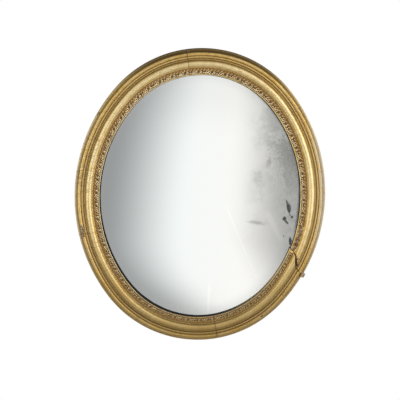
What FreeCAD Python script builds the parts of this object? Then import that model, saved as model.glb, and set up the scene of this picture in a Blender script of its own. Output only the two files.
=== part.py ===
"""Oval giltwood mirror: a moulded front layer on a plain back layer, with the plate between them.

The oval is struck from four arcs, so every parallel line of the moulding is four true arcs too.
X runs to the right, Z up and the wall is the plane Y = 0, with the front of the mirror towards -Y.
"""
import FreeCAD
import Part
import Sketcher

import math
import os
import re

from FreeCAD import Placement, Rotation, Vector

doc = FreeCAD.newDocument("OvalMirror")

# Driving dimensions, in millimetres and degrees
SIZES = {
    # Outline of the oval
    "overall_height": 718,
    "overall_width": 610,
    "blend_turn": 39.3,
    # Front moulding, walked from the outer edge to the sight edge
    "lip_height": 3.2,
    "lip_shelf": 1.2,
    "cove_width": 5.2,
    "cove_height": 9.8,
    "cove_hollow": 1.5,
    "roll_width": 9.0,
    "roll_rise": 4.7,
    "quirk_width": 1.6,
    "fine_fillet_width": 3.2,
    "fine_fillet_rise": 1.1,
    "groove_slope": 2.4,
    "groove_depth": 2.2,
    "groove_width": 3.3,
    "torus_foot": 2.5,
    "torus_width": 16.1,
    "torus_climb": 3.5,
    "torus_rise": 8.1,
    "ledge_width": 1.4,
    "bed_step": 1.5,
    "bed_width": 14.2,
    "bed_fall": 5.0,
    "fillet_height": 1.2,
    "fillet_width": 2.8,
    "fillet_rise": 0.4,
    # Back layer and rebate
    "rail_thickness": 18,
    "rail_width": 43.4,
    "rail_setback": 0.6,
    # Joints between the lengths, as turns of the outward normal from +X towards +Z
    "top_joint_turn": 100.3,
    "left_joint_turn": 195.5,
    "bottom_joint_turn": 282.4,
    "open_joint_outer_turn": 333,
    "open_joint_inner_turn": 340.3,
    "open_joint_gap": 1.2,
    "open_joint_slip": 2.7,
    "first_rail_turn": 45,
    "tongue_thickness": 4,
    "tongue_width": 18,
    "tongue_reach": 13,
    "tongue_inset": 26,
    "tongue_height": 21,
    "tongue_clearance": 0.3,
    # Leaf ornament
    "loss_end_turn": -10.3,
    "strip_lift": 1.0,
    "strip_swell": 1.5,
    "strip_margin": 0.6,
    "strip_seam": 0.5,
    "curl_radius": 3.6,
    "curl_thickness": 1.2,
    "pearl_radius": 1.4,
    "pearl_margin": 2.0,
    "glue_line": 0.1,
    # Plate and its binding
    "binding_thickness": 0.4,
    "binding_show": 1.0,
    "plate_thickness": 4,
    "plate_clearance": 2,
    # Blocks, planks and nails
    "plank_thickness": 7,
    "plank_clearance": 1,
    "plank_gap": 0.6,
    "middle_plank_width": 168,
    "block_length": 30,
    "block_width": 14,
    "block_clearance": 0.2,
    "first_block_turn": 15,
    "nail_radius": 0.8,
    "nail_head_radius": 2,
    "nail_head_depth": 0.9,
    "nail_length": 12,
    "nail_sink": 0.2,
    # Screws between the layers
    "screw_radius": 2,
    "screw_head_radius": 3.8,
    "screw_head_depth": 2.2,
    "screw_length": 27,
    "screw_inset": 31,
    "screw_sink": 0.3,
    # Hanger
    "ring_bar_drop": 10,
    "ring_bar_stand": 3.4,
    "ring_wire_radius": 1.5,
    "ring_leg_spacing": 22,
    "ring_leg_length": 14,
    "knuckle_radius": 3.1,
    "knuckle_play": 0.1,
    "strap_width": 18,
    "strap_length": 30,
    "strap_thickness": 1.5,
    "hanger_screw_radius": 1.5,
    "hanger_screw_head_radius": 3,
    "hanger_screw_head_depth": 1.3,
    "hanger_screw_length": 15,
    "hanger_screw_sink": 0.05,
    "first_hanger_screw": 10,
    "hanger_screw_spacing": 12,
    # Play round pins in their holes, and the overrun of every cutter
    "pin_play": 0.05,
    "overrun": 2,
}

# Derived sizes, each a formula of the driving dimensions
LAYOUT = {
    "blend_slope": "tan(blend_turn * 1 deg)",
    "side_centre": "(overall_height - overall_width) / 2"
                   " / (1 + blend_slope - 1 / cos(blend_turn * 1 deg))",
    "side_radius": "overall_width / 2 + side_centre",
    "end_centre": "side_centre * blend_slope",
    "end_radius": "overall_height / 2 - end_centre",
    "torus_inset": "lip_shelf + cove_width + roll_width + quirk_width + fine_fillet_width"
                   " + groove_slope + groove_width",
    "torus_end_height": "rail_thickness + lip_height + cove_height - groove_depth"
                        " + torus_foot + torus_climb",
    "bed_inset": "torus_inset + torus_width + ledge_width",
    "bed_height": "torus_end_height - bed_step",
    "bed_slope": "bed_fall / bed_width",
    "bed_middle": "bed_inset + bed_width / 2",
    "sight_inset": "bed_inset + bed_width + fillet_width",
    "sight_height": "bed_height - bed_fall + fillet_height",
    "strip_inset": "bed_inset + strip_margin",
    "strip_foot": "bed_height - bed_slope * strip_margin + glue_line",
    "strip_width": "bed_width - 2 * strip_margin",
    "strip_crest": "strip_foot - bed_slope * strip_width / 2 + strip_lift + strip_swell",
    "pearl_inset": "strip_inset + strip_width - pearl_margin",
    "pearl_height": "strip_foot - bed_slope * (strip_width - pearl_margin) + strip_lift"
                    " + pearl_radius / 2",
    "rebate_inset": "rail_setback + rail_width",
    "plate_inset": "rebate_inset + plate_clearance",
    "plate_front": "rail_thickness - binding_thickness",
    "plate_back": "plate_front - plate_thickness",
    "binding_width": "sight_inset + binding_show - plate_inset",
    "plank_inset": "rebate_inset + plank_clearance",
    "block_thickness": "plate_back - plank_thickness",
    "block_bow": "block_length ^ 2 / 8 / (min(end_radius; side_radius) - rebate_inset)",
    "block_inset": "rebate_inset + block_bow + block_clearance + block_width",
    "block_middle": "block_inset - block_width / 2",
    "ring_bar_height": "overall_height / 2 - ring_bar_drop",
    "tongue_length": "2 * tongue_reach",
}

# Motifs on each ornament strip, from the lost stretch round to the open joint
STRIP_MOTIFS = [9, 9, 9, 9, 8, 8]
# Places of the screws along each back rail
SCREW_SHARES = [1 / 6, 5 / 6]

FULL_TURN = 360
HALF_TURN = FULL_TURN / 2
QUARTER_TURN = FULL_TURN / 4
RIGHT = Vector(1, 0, 0)
TO_FRONT = Vector(0, -1, 0)
ALONG_X = Rotation(TO_FRONT, -QUARTER_TURN)
FACING_FRONT = Rotation(RIGHT, QUARTER_TURN)
FACING_WALL = Rotation(RIGHT, -QUARTER_TURN)


def spelled(text):
    """An expression with each size given the name of its sheet."""
    def with_sheet(match):
        word = match.group()
        if word in SIZES:
            return "Sizes." + word
        return "Layout." + word if word in LAYOUT else word
    return re.sub(r"[a-z_]+", with_sheet, text)


def write_sheet(name, cells):
    """A spreadsheet with one size and its alias on each row."""
    sheet = doc.addObject("Spreadsheet::Sheet", name)
    for row, (alias, content) in enumerate(cells.items(), start=1):
        sheet.set(f"A{row}", alias)
        sheet.set(f"B{row}", content)
        sheet.setAlias(f"B{row}", alias)
    doc.recompute()
    return sheet


sizes = write_sheet("Sizes", {alias: str(size) for alias, size in SIZES.items()})
layout = write_sheet("Layout", {
    alias: "=" + spelled(formula).replace("Layout.", "") for alias, formula in LAYOUT.items()})


def value(text):
    """The number that an expression of the sizes gives."""
    return float(layout.evalExpression(spelled(text)))


def add(kind, name, place=None, **bindings):
    """A document object with its properties bound to the sheets; Base_x stands for Base.x."""
    piece = doc.addObject(kind, name)
    for prop, text in bindings.items():
        piece.setExpression(prop.replace("_", "."), spelled(text))
    if place is not None:
        piece.Placement = place
    return piece


def joined(name, pieces):
    """One object from pieces that meet or overlap."""
    if len(pieces) == 1:
        return pieces[0]
    union = doc.addObject("Part::MultiFuse", name)
    union.Shapes = pieces
    union.Refine = True
    return union


def group(name, pieces):
    """Several separate solids as one object."""
    gathered = doc.addObject("Part::Compound", name)
    gathered.Links = pieces
    return gathered


def cut(name, base, tools):
    """The base with every tool taken out of it."""
    if not tools:
        return base
    result = doc.addObject("Part::Cut", name)
    result.Base = base
    result.Tool = tools[0] if len(tools) == 1 else group(name + "Tools", tools)
    return result


# Laying out along the oval

BLEND = sizes.blend_turn
# Each arc: the turns it covers, the size that is its radius, and its centre
ARCS = [
    (-BLEND, BLEND, "side_radius", Vector(-layout.side_centre, 0, 0)),
    (BLEND, HALF_TURN - BLEND, "end_radius", Vector(0, 0, layout.end_centre)),
    (HALF_TURN - BLEND, HALF_TURN + BLEND, "side_radius", Vector(layout.side_centre, 0, 0)),
    (HALF_TURN + BLEND, FULL_TURN - BLEND, "end_radius", Vector(0, 0, -layout.end_centre)),
]


def spans(start, finish):
    """The stretches between two turns that lie on one arc each: low, high, radius, centre."""
    found = []
    for lap in (-FULL_TURN, 0, FULL_TURN):
        for low, high, radius, centre in ARCS:
            low_end = max(start, low + lap)
            high_end = min(finish, high + lap)
            if low_end < high_end:
                found.append((low_end, high_end, radius, centre))
    return found


def on_arc(turn, radius, centre):
    """Frame on the outline: X outwards, Y to the wall and Z along the oval."""
    return Placement(centre, Rotation(TO_FRONT, turn)) * Placement(
        RIGHT * value(radius), Rotation())


def on_oval(turn, inset=0.0, height=0.0, along=0.0, spin=Rotation()):
    """Frame on the oval at a turn, moved inwards, off the wall and along."""
    _, _, radius, centre = spans(turn, turn + FULL_TURN)[0]
    return on_arc(turn, radius, centre) * Placement(Vector(-inset, -height, along), spin)


def run_between(start, finish, inset):
    """Length of the parallel line at an inset between two turns."""
    return sum(math.radians(high - low) * (value(radius) - inset)
               for low, high, radius, _ in spans(start, finish))


def turn_after(start, run, inset):
    """The turn reached from a turn by a run along the parallel line at an inset."""
    for low, high, radius, _ in spans(start, start + FULL_TURN):
        reach = math.radians(high - low) * (value(radius) - inset)
        if run <= reach:
            return low + math.degrees(run / (value(radius) - inset))
        run -= reach
    return start + FULL_TURN


# Sections and solids of revolution

def section(name, inset, height, walk):
    """A closed sketch across the oval, walked from its first corner.

    Each step of the walk is its run inwards, its rise to the front and its swell, which bows it
    out. Every corner is dimensioned from the outline and the wall.
    """
    corners = [(inset, height)]
    for inwards, forwards, _ in walk:
        corners.append((f"{corners[-1][0]} + {inwards}", f"{corners[-1][1]} + {forwards}"))
    points = [Vector(-value(across), -value(deep), 0) for across, deep in corners]
    swells = [swell for _, _, swell in walk] + ["0"]
    sketch = doc.addObject("Sketcher::SketchObject", name)
    ends = []
    for index, swell in enumerate(swells):
        here = points[index]
        there = points[(index + 1) % len(points)]
        bow = value(swell)
        if bow == 0:
            edge = sketch.addGeometry(Part.LineSegment(here, there))
        else:
            outwards = Vector(here.y - there.y, there.x - here.x, 0).normalize()
            edge = sketch.addGeometry(Part.Arc(here, (here + there) / 2 + outwards * bow, there))
            inwards, forwards, _ = walk[index]
            radius = f"(({inwards}) ^ 2 + ({forwards}) ^ 2) / 8 / abs({swell}) + abs({swell}) / 2"
            rule = sketch.addConstraint(Sketcher.Constraint("Radius", edge, value(radius)))
            sketch.setExpression(f"Constraints[{rule}]", spelled(radius))
        begins = sketch.getPoint(edge, 1).distanceToPoint(here)
        finishes = sketch.getPoint(edge, 2).distanceToPoint(here)
        ends.append((edge, 1, 2) if begins < finishes else (edge, 2, 1))
    for index, (across, deep) in enumerate(corners):
        edge, begin, _ = ends[index]
        previous, _, finish = ends[index - 1]
        sketch.addConstraint(Sketcher.Constraint("Coincident", previous, finish, edge, begin))
        for kind, text in (("DistanceX", across), ("DistanceY", deep)):
            away = f"-({text})"
            rule = sketch.addConstraint(Sketcher.Constraint(kind, edge, begin, value(away)))
            sketch.setExpression(f"Constraints[{rule}]", spelled(away))
    return sketch


def revolved(name, sketch, place, radius="0"):
    """A section turned about the line one radius inside its datum."""
    solid = add("Part::Revolution", name, place, Base_x=f"-({radius})")
    solid.Source = sketch
    solid.Axis = TO_FRONT
    solid.Solid = True
    return solid


def swept(name, sketch, start, finish):
    """A section carried round the oval from one turn to another."""
    pieces = []
    for count, (low, high, radius, centre) in enumerate(spans(start, finish), start=1):
        piece = revolved(f"{name}Arc{count}", sketch, on_arc(low, radius, centre), radius)
        piece.Angle = high - low
        pieces.append(piece)
    return joined(name + "Run", pieces)


def pin_section(name, pin, flare, play="0", run_out="0"):
    """Half the section of a headed pin on its own axis, or of its hole where play is given."""
    wide = f"{pin}_head_radius + {play}"
    narrow = f"{pin}_radius + {play}"
    head = [(f"0 - ({wide}) + ({narrow})", f"{pin}_head_depth + {play}", "0")]
    if not flare:
        head = [("0", f"{pin}_head_depth + {play}", "0"),
                (f"0 - ({wide}) + ({narrow})", "0", "0")]
    top = f"{pin}_sink"
    lead = [(wide, "0", "0")]
    if run_out != "0":
        top = f"-({run_out})"
        lead.append(("0", f"{pin}_sink + {run_out}", "0"))
    shank = [("0", f"{pin}_length - {pin}_head_depth", "0"), (f"0 - ({narrow})", "0", "0")]
    return section(name, "0", top, lead + head + shank)


def box(name, place, length, width, height):
    """A box whose frame stands at its centre."""
    centred = place * Placement(
        Vector(-value(length) / 2, -value(width) / 2, -value(height) / 2), Rotation())
    return add("Part::Box", name, centred, Length=length, Width=width, Height=height)


def oval_plate(name, inset, back, thickness):
    """A flat plate with the outline of the oval at an inset, from sectors of its four arcs."""
    sectors = []
    for count, (low, high, radius, centre) in enumerate(ARCS, start=1):
        place = Placement(centre, Rotation(TO_FRONT, low)) * Placement(
            TO_FRONT * value(back), FACING_FRONT)
        sector = add("Part::Cylinder", f"{name}Sector{count}", place,
                     Radius=f"{radius} - {inset}", Height=thickness)
        sector.Angle = high - low
        sectors.append(sector)
    return joined(name + "Plate", sectors)


SUBPARTS = []


def subpart(piece, label):
    """Take a finished piece into the mirror under its own label."""
    piece.Label = label
    SUBPARTS.append(piece)
    return piece


# Front moulding

moulding_section = section("MouldingSection", "0", "rail_thickness", [
    ("0", "lip_height", "0"),
    ("lip_shelf", "0", "0"),
    ("cove_width", "cove_height", "-cove_hollow"),
    ("roll_width", "0", "roll_rise"),
    ("quirk_width", "0", "0"),
    ("0", "fine_fillet_rise", "0"),
    ("fine_fillet_width", "0", "0"),
    ("groove_slope", "-fine_fillet_rise - groove_depth", "0"),
    ("groove_width", "0", "0"),
    ("0", "torus_foot", "0"),
    ("torus_width", "torus_climb", "torus_rise"),
    ("ledge_width", "0", "0"),
    ("0", "-bed_step", "0"),
    ("bed_width", "-bed_fall", "0"),
    ("0", "fillet_height", "0"),
    ("fillet_width", "0", "fillet_rise"),
    ("0", "rail_thickness - sight_height", "0"),
])

# The open joint runs aslant from the outline to the sight edge; the turns above it start a new lap
outer_end = on_oval(sizes.open_joint_outer_turn).Base
inner_end = on_oval(sizes.open_joint_inner_turn, layout.sight_inset).Base
across_joint = outer_end - inner_end
slant = math.degrees(math.atan2(across_joint.z, across_joint.x))
open_joint = Placement((outer_end + inner_end) / 2, Rotation(TO_FRONT, slant))
above_joint_start = sizes.open_joint_outer_turn - FULL_TURN
GAP_SHIFT = "overall_width / 4 - open_joint_gap / 2"


def beyond_joint(name, side):
    """A block that fills one side of the open joint, up to its gap."""
    centre = open_joint * Placement(Vector(0, 0, side * value(GAP_SHIFT)), Rotation())
    return box(name, centre, "overall_width / 2", "overall_width / 2", "overall_width / 2")


# The length below the open joint has turned inwards about its other end
slip_pivot = on_oval(sizes.bottom_joint_turn, layout.sight_inset).Base
slip_reach = (open_joint.Base - slip_pivot).Length
slip_turn = math.degrees(sizes.open_joint_slip / slip_reach)
slip = Placement(Vector(), Rotation(TO_FRONT, slip_turn), slip_pivot)

TONGUE_DEPTH = "tongue_height + tongue_thickness / 2"
TONGUE_MIDDLE = "tongue_inset + tongue_width / 2"


def tongue_place(turn):
    """Centre of the tongue across a closed joint."""
    return on_oval(turn, value(TONGUE_MIDDLE), value(TONGUE_DEPTH))


def slot(name, place):
    """The room for a tongue, with its clearance."""
    return box(name, place, "tongue_width + 2 * tongue_clearance",
               "tongue_thickness + 2 * tongue_clearance", "tongue_length + 2 * tongue_clearance")


open_slot_place = open_joint * Placement(TO_FRONT * value(TONGUE_DEPTH), Rotation())
JOINTS = {
    "top": sizes.top_joint_turn,
    "left": sizes.left_joint_turn,
    "bottom": sizes.bottom_joint_turn,
}

screw_hole_section = pin_section("ScrewHoleSection", "screw", True, "pin_play", "overrun")
screw_section = pin_section("ScrewSection", "screw", True)
RAIL_NAMES = ["upper", "left", "lower", "right"]
rail_starts = [sizes.first_rail_turn + QUARTER_TURN * count for count in range(len(RAIL_NAMES))]
all_screw_turns = [start + QUARTER_TURN * share for start in rail_starts for share in SCREW_SHARES]
# No screw holds the length that has slipped
screw_turns = [turn for turn in all_screw_turns
               if not sizes.bottom_joint_turn < turn < sizes.open_joint_inner_turn]


def turns_within(turns, start, finish):
    """Those of the turns that lie between two turns, on any lap."""
    return [turn for turn in turns for lap in (-FULL_TURN, 0, FULL_TURN)
            if start < turn + lap < finish]


def screw_holes(name, start, finish):
    """Cutters for the screws between two turns."""
    return [revolved(f"{name}ScrewHole{count}", screw_hole_section,
                     on_oval(turn, sizes.screw_inset))
            for count, turn in enumerate(turns_within(screw_turns, start, finish), start=1)]


def moulding(name, label, start, finish, slots, ends=()):
    """One length of the moulding, with the slots for its tongues and its aslant end."""
    run = swept(name, moulding_section, start, finish)
    cutters = [slot(f"{name}Slot{count}", place) for count, place in enumerate(slots, start=1)]
    return subpart(cut(name, run, cutters + list(ends) + screw_holes(name, start, finish)), label)


moulding("MouldingUpperRight", "moulding_upper_right", above_joint_start, sizes.top_joint_turn,
         [tongue_place(sizes.top_joint_turn), open_slot_place],
         [beyond_joint("BelowOpenJoint", -1)])
moulding("MouldingUpperLeft", "moulding_upper_left", sizes.top_joint_turn, sizes.left_joint_turn,
         [tongue_place(sizes.top_joint_turn), tongue_place(sizes.left_joint_turn)])
moulding("MouldingLowerLeft", "moulding_lower_left", sizes.left_joint_turn, sizes.bottom_joint_turn,
         [tongue_place(sizes.left_joint_turn), tongue_place(sizes.bottom_joint_turn)])
slipped = moulding("MouldingLowerRight", "moulding_lower_right",
                   sizes.bottom_joint_turn, sizes.open_joint_inner_turn,
                   [tongue_place(sizes.bottom_joint_turn), open_slot_place],
                   [beyond_joint("AboveOpenJoint", 1)])
slipped.Placement = slip

for side, turn in JOINTS.items():
    tongue = box("Tongue" + side.title(), tongue_place(turn),
                 "tongue_width", "tongue_thickness", "tongue_length")
    subpart(tongue, "tongue_" + side)
# The tongue of the open joint has stayed in the length above it
torn_place = open_slot_place * Placement(
    Vector(0, 0, value("open_joint_gap / 4 + tongue_reach / 2")), Rotation())
subpart(box("TongueOpenJoint", torn_place, "tongue_width", "tongue_thickness",
            "tongue_reach - open_joint_gap / 2"), "tongue_open_joint")

# Leaf ornament in strips on the sloping bed

strip_section = section("StripSection", "strip_inset", "strip_foot", [
    ("0", "strip_lift", "0"),
    ("strip_width", "-bed_slope * strip_width", "strip_swell"),
    ("0", "-strip_lift", "0"),
])
bed_tilt = math.degrees(math.atan(layout.bed_slope))
ON_BED = Rotation(Vector(0, 0, 1), -bed_tilt) * FACING_FRONT


def leaf_strip(number, start, finish, motifs, ends=()):
    """One strip of the ornament: a curl and a pearl on a swelling ground for each motif."""
    name = f"LeafStrip{number}"
    seam = math.degrees(sizes.strip_seam / (layout.end_radius - layout.bed_middle))
    run = run_between(start, finish, layout.bed_middle)
    relief = []
    for count in range(motifs):
        middle = turn_after(start, run * (count + 1 / 2) / motifs, layout.bed_middle)
        curl = on_oval(middle, layout.bed_middle, layout.strip_crest - sizes.curl_thickness / 2,
                       spin=ON_BED)
        relief.append(add("Part::Torus", f"{name}Curl{count + 1}", curl,
                          Radius1="curl_radius", Radius2="curl_thickness"))
        pearl = on_oval(middle, layout.pearl_inset, layout.pearl_height)
        relief.append(add("Part::Sphere", f"{name}Pearl{count + 1}", pearl,
                          Radius="pearl_radius"))
    ground = swept(name + "Ground", strip_section, start, finish - seam)
    strip = joined(name + "Relief", [ground] + relief)
    return subpart(cut(name, strip, list(ends)), f"leaf_strip_{number}")


strip_start = sizes.loss_end_turn
sound_run = run_between(sizes.loss_end_turn, sizes.bottom_joint_turn, layout.bed_middle)
sound_motifs = sum(STRIP_MOTIFS[:-1])
for strip_number, strip_motifs in enumerate(STRIP_MOTIFS[:-1], start=1):
    strip_finish = turn_after(strip_start, sound_run * strip_motifs / sound_motifs,
                              layout.bed_middle)
    leaf_strip(strip_number, strip_start, strip_finish, strip_motifs)
    strip_start = strip_finish
joint_middle_turn = (sizes.open_joint_outer_turn + sizes.open_joint_inner_turn) / 2
last_strip = leaf_strip(len(STRIP_MOTIFS), sizes.bottom_joint_turn, joint_middle_turn,
                        STRIP_MOTIFS[-1])
last_strip.Placement = slip

# Plate and its black binding

binding_section = section("BindingSection", "plate_inset", "plate_front", [
    ("0", "binding_thickness", "0"),
    ("binding_width", "0", "0"),
    ("0", "-binding_thickness", "0"),
])
subpart(swept("PlateBinding", binding_section, 0, FULL_TURN), "plate_binding")
subpart(oval_plate("Mirror", "plate_inset", "plate_back", "plate_thickness"), "mirror_plate")

# Back layer

rail_section = section("RailSection", "rail_setback", "0", [
    ("0", "rail_thickness", "0"),
    ("rail_width", "0", "0"),
    ("0", "-rail_thickness", "0"),
])
hanger_hole_section = pin_section("HangerHoleSection", "hanger_screw", True,
                                  "pin_play", "overrun")
hanger_screw_section = pin_section("HangerScrewSection", "hanger_screw", True)


def hanger_pins(name, sketch):
    """The two screws of the hanger, or their cutters, one above the other."""
    pins = []
    for count in range(2):
        drop = sizes.first_hanger_screw + count * sizes.hanger_screw_spacing
        head = Vector(0, sizes.strap_thickness, layout.ring_bar_height - drop)
        pins.append(revolved(f"{name}{count + 1}", sketch, Placement(head, Rotation())))
    return pins


for rail_name, rail_start in zip(RAIL_NAMES, rail_starts):
    title = "Rail" + rail_name.title()
    rail_cutters = screw_holes(title, rail_start, rail_start + QUARTER_TURN)
    if rail_name == "upper":
        rail_cutters += hanger_pins("RailHangerHole", hanger_hole_section)
    rail_run = swept(title, rail_section, rail_start, rail_start + QUARTER_TURN)
    subpart(cut(title, rail_run, rail_cutters), f"back_rail_{rail_name}")

subpart(group("RailScrews", [
    revolved(f"RailScrew{count}", screw_section, on_oval(turn, sizes.screw_inset))
    for count, turn in enumerate(screw_turns, start=1)]), "rail_screws")

# Blocks behind the plate, backboard planks and their nails

BLOCK_COUNT = 12
block_turns = [sizes.first_block_turn + FULL_TURN / BLOCK_COUNT * count
               for count in range(BLOCK_COUNT)]
nail_hole_section = pin_section("NailHoleSection", "nail", False, "pin_play", "overrun")
nail_section = pin_section("NailSection", "nail", False)

for block_number, block_turn in enumerate(block_turns, start=1):
    block_place = on_oval(block_turn, layout.block_middle,
                          value("plank_thickness + block_thickness / 2"))
    block = box(f"Block{block_number}", block_place, "block_width", "block_thickness",
                "block_length")
    nail_hole = revolved(f"BlockHole{block_number}", nail_hole_section,
                         on_oval(block_turn, layout.block_middle))
    subpart(cut(f"PlateBlock{block_number}", block, [nail_hole]),
            f"plate_block_{block_number:02d}")

SIDE_PLANK = "(overall_width - middle_plank_width) / 2 - plank_gap"
SIDE_SHIFT = "(overall_width + middle_plank_width) / 4 + plank_gap / 2"
PLANKS = [
    ("left", SIDE_PLANK, -value(SIDE_SHIFT)),
    ("middle", "middle_plank_width", 0),
    ("right", SIDE_PLANK, value(SIDE_SHIFT)),
]
for plank_name, plank_width, plank_shift in PLANKS:
    title = "Plank" + plank_name.title()
    board = oval_plate(title, "plank_inset", "0", "plank_thickness")
    strip = box(title + "Strip", Placement(Vector(plank_shift, 0, 0), Rotation()),
                plank_width, "4 * plank_thickness", "overall_height")
    plank = doc.addObject("Part::Common", title + "Board")
    plank.Base = board
    plank.Tool = strip
    reach = value(plank_width) / 2
    holes = []
    for count, block_turn in enumerate(block_turns, start=1):
        place = on_oval(block_turn, layout.block_middle)
        if abs(place.Base.x - plank_shift) < reach:
            holes.append(revolved(f"{title}Hole{count}", nail_hole_section, place))
    subpart(cut(title, plank, holes), f"backboard_{plank_name}")

subpart(group("BackboardNails", [
    revolved(f"Nail{count}", nail_section, on_oval(turn, layout.block_middle))
    for count, turn in enumerate(block_turns, start=1)]), "backboard_nails")

# Hanger: a strap with a knuckle, its screws, and the ring that swings in it

bar_centre = Vector(0, sizes.ring_bar_stand, layout.ring_bar_height)


def bar_cylinder(name, radius, length):
    """A cylinder on the hinge line of the ring, centred on the mirror."""
    start = bar_centre - RIGHT * (value(length) / 2)
    return add("Part::Cylinder", name, Placement(start, ALONG_X), Radius=radius, Height=length)


strap_place = Placement(Vector(
    0, sizes.strap_thickness / 2, layout.ring_bar_height - sizes.strap_length / 2), Rotation())
strap = box("StrapBlank", strap_place, "strap_width", "strap_thickness", "strap_length")
knuckle = bar_cylinder("Knuckle", "knuckle_radius", "strap_width")
bore = bar_cylinder("KnuckleBore", "ring_wire_radius + knuckle_play",
                    "strap_width + 2 * overrun")
subpart(cut("HangerStrap", joined("StrapAndKnuckle", [strap, knuckle]),
            [bore] + hanger_pins("StrapHole", hanger_hole_section)), "hanger_strap")
subpart(group("HangerScrews", hanger_pins("HangerScrew", hanger_screw_section)),
        "hanger_screws")

ring_pieces = [bar_cylinder("RingBar", "ring_wire_radius", "ring_leg_spacing")]
for side_name, side in (("Left", -1), ("Right", 1)):
    corner = bar_centre + RIGHT * (side * sizes.ring_leg_spacing / 2)
    ring_pieces.append(add("Part::Sphere", f"RingCorner{side_name}",
                           Placement(corner, Rotation()), Radius="ring_wire_radius"))
    ring_pieces.append(add("Part::Cylinder", f"RingLeg{side_name}",
                           Placement(corner, Rotation(RIGHT, HALF_TURN)),
                           Radius="ring_wire_radius", Height="ring_leg_length"))
bow_centre = bar_centre - Vector(0, 0, sizes.ring_leg_length)
bow = add("Part::Torus", "RingBow", Placement(bow_centre, FACING_WALL),
          Radius1="ring_leg_spacing / 2", Radius2="ring_wire_radius")
bow.Angle3 = HALF_TURN
subpart(joined("HangingRing", ring_pieces + [bow]), "hanging_ring")

doc.recompute()

for piece in doc.Objects:
    if {"Invalid", "Error"} & set(piece.State):
        raise RuntimeError(f"{piece.Label} is in state {piece.State}")
for piece in SUBPARTS:
    if piece.Shape.isNull() or not piece.Shape.isValid():
        raise RuntimeError(f"{piece.Label} has no valid shape")

os.makedirs("parts", exist_ok=True)
for piece in SUBPARTS:
    piece.Shape.exportStep(f"parts/{piece.Label}.step")
    print(piece.Label, len(piece.Shape.Solids), round(piece.Shape.Volume))
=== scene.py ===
"""Oval giltwood mirror: the carved, gilded and silvered pieces, fitted over the joined frame."""

import math

import bpy
import numpy as np
from mathutils import Matrix, Vector, noise
from bpy.props import FloatProperty, FloatVectorProperty, IntProperty, PointerProperty
from bpy.types import Operator, Panel, PropertyGroup


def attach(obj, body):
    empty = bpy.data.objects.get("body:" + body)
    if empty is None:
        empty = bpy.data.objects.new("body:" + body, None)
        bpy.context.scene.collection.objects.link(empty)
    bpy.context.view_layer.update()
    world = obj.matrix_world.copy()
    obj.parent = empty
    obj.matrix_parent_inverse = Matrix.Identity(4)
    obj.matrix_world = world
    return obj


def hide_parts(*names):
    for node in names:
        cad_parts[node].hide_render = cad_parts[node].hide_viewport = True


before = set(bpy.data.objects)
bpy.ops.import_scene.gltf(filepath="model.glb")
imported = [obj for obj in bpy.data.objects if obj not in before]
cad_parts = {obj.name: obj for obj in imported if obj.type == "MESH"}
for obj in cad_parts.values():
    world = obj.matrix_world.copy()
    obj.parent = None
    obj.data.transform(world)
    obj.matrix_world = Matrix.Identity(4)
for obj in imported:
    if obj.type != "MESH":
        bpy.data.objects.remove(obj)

bl_info = {
    "name": "Oval Giltwood Mirror",
    "version": (1, 0, 0),
    "blender": (4, 5, 0),
    "location": "3D View > Sidebar > Mirror",
    "description": "Builds the gilded and silvered pieces of an oval wall mirror",
    "category": "Object",
}

MM = 0.001
SNAP = 1e-6
FULL_TURN = 2 * math.pi
TO_FRONT = Vector((0, -1, 0))
NOISE_SHIFT = (7.31, 3.17, 5.53)
LEVEL, DEPTHWAYS, UPRIGHT = 0, 1, 2
LENGTHS = ("upper_right", "upper_left", "lower_left", "lower_right")


# Sizes and colours that a user would change

def length(name, description, millimetres):
    """A length property, given in millimetres and kept in metres."""
    return FloatProperty(name=name, description=description, default=millimetres * MM,
                         unit="LENGTH", precision=4)


def turn(name, description, degrees):
    """An angle property in degrees. On the oval it turns the outward normal from +X towards +Z."""
    return FloatProperty(name=name, description=description, default=math.radians(degrees),
                         subtype="ANGLE")


def colour(name, description, red, green, blue):
    """A linear colour."""
    return FloatVectorProperty(name=name, description=description, subtype="COLOR", size=3,
                               min=0, max=1, default=(red, green, blue))


class OvalSizes(PropertyGroup):
    """Outline of the mirror and the places of its joints"""
    height: length("Height", "Height of the oval", 718)
    width: length("Width", "Width of the oval", 610)
    blend: turn("Blend", "Turn at which a side arc meets an end arc", 39.3)
    top_joint: turn("Top Joint", "Joint of the two upper lengths", 100.3)
    left_joint: turn("Left Joint", "Joint of the two left lengths", 195.5)
    bottom_joint: turn("Bottom Joint", "Joint of the two lower lengths", 282.4)
    open_joint_outer: turn("Open Joint Outside", "Open joint at the outline", 333)
    open_joint_inner: turn("Open Joint Inside", "Open joint at the sight edge", 340.3)
    open_joint_gap: length("Open Joint Gap", "Width of the open joint", 1.2)
    open_joint_slip: length("Open Joint Slip", "How far the lower right length has slipped", 2.7)
    loss_end: turn("Loss End", "Where the lost stretch of ornament ends", -10.3)


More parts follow.
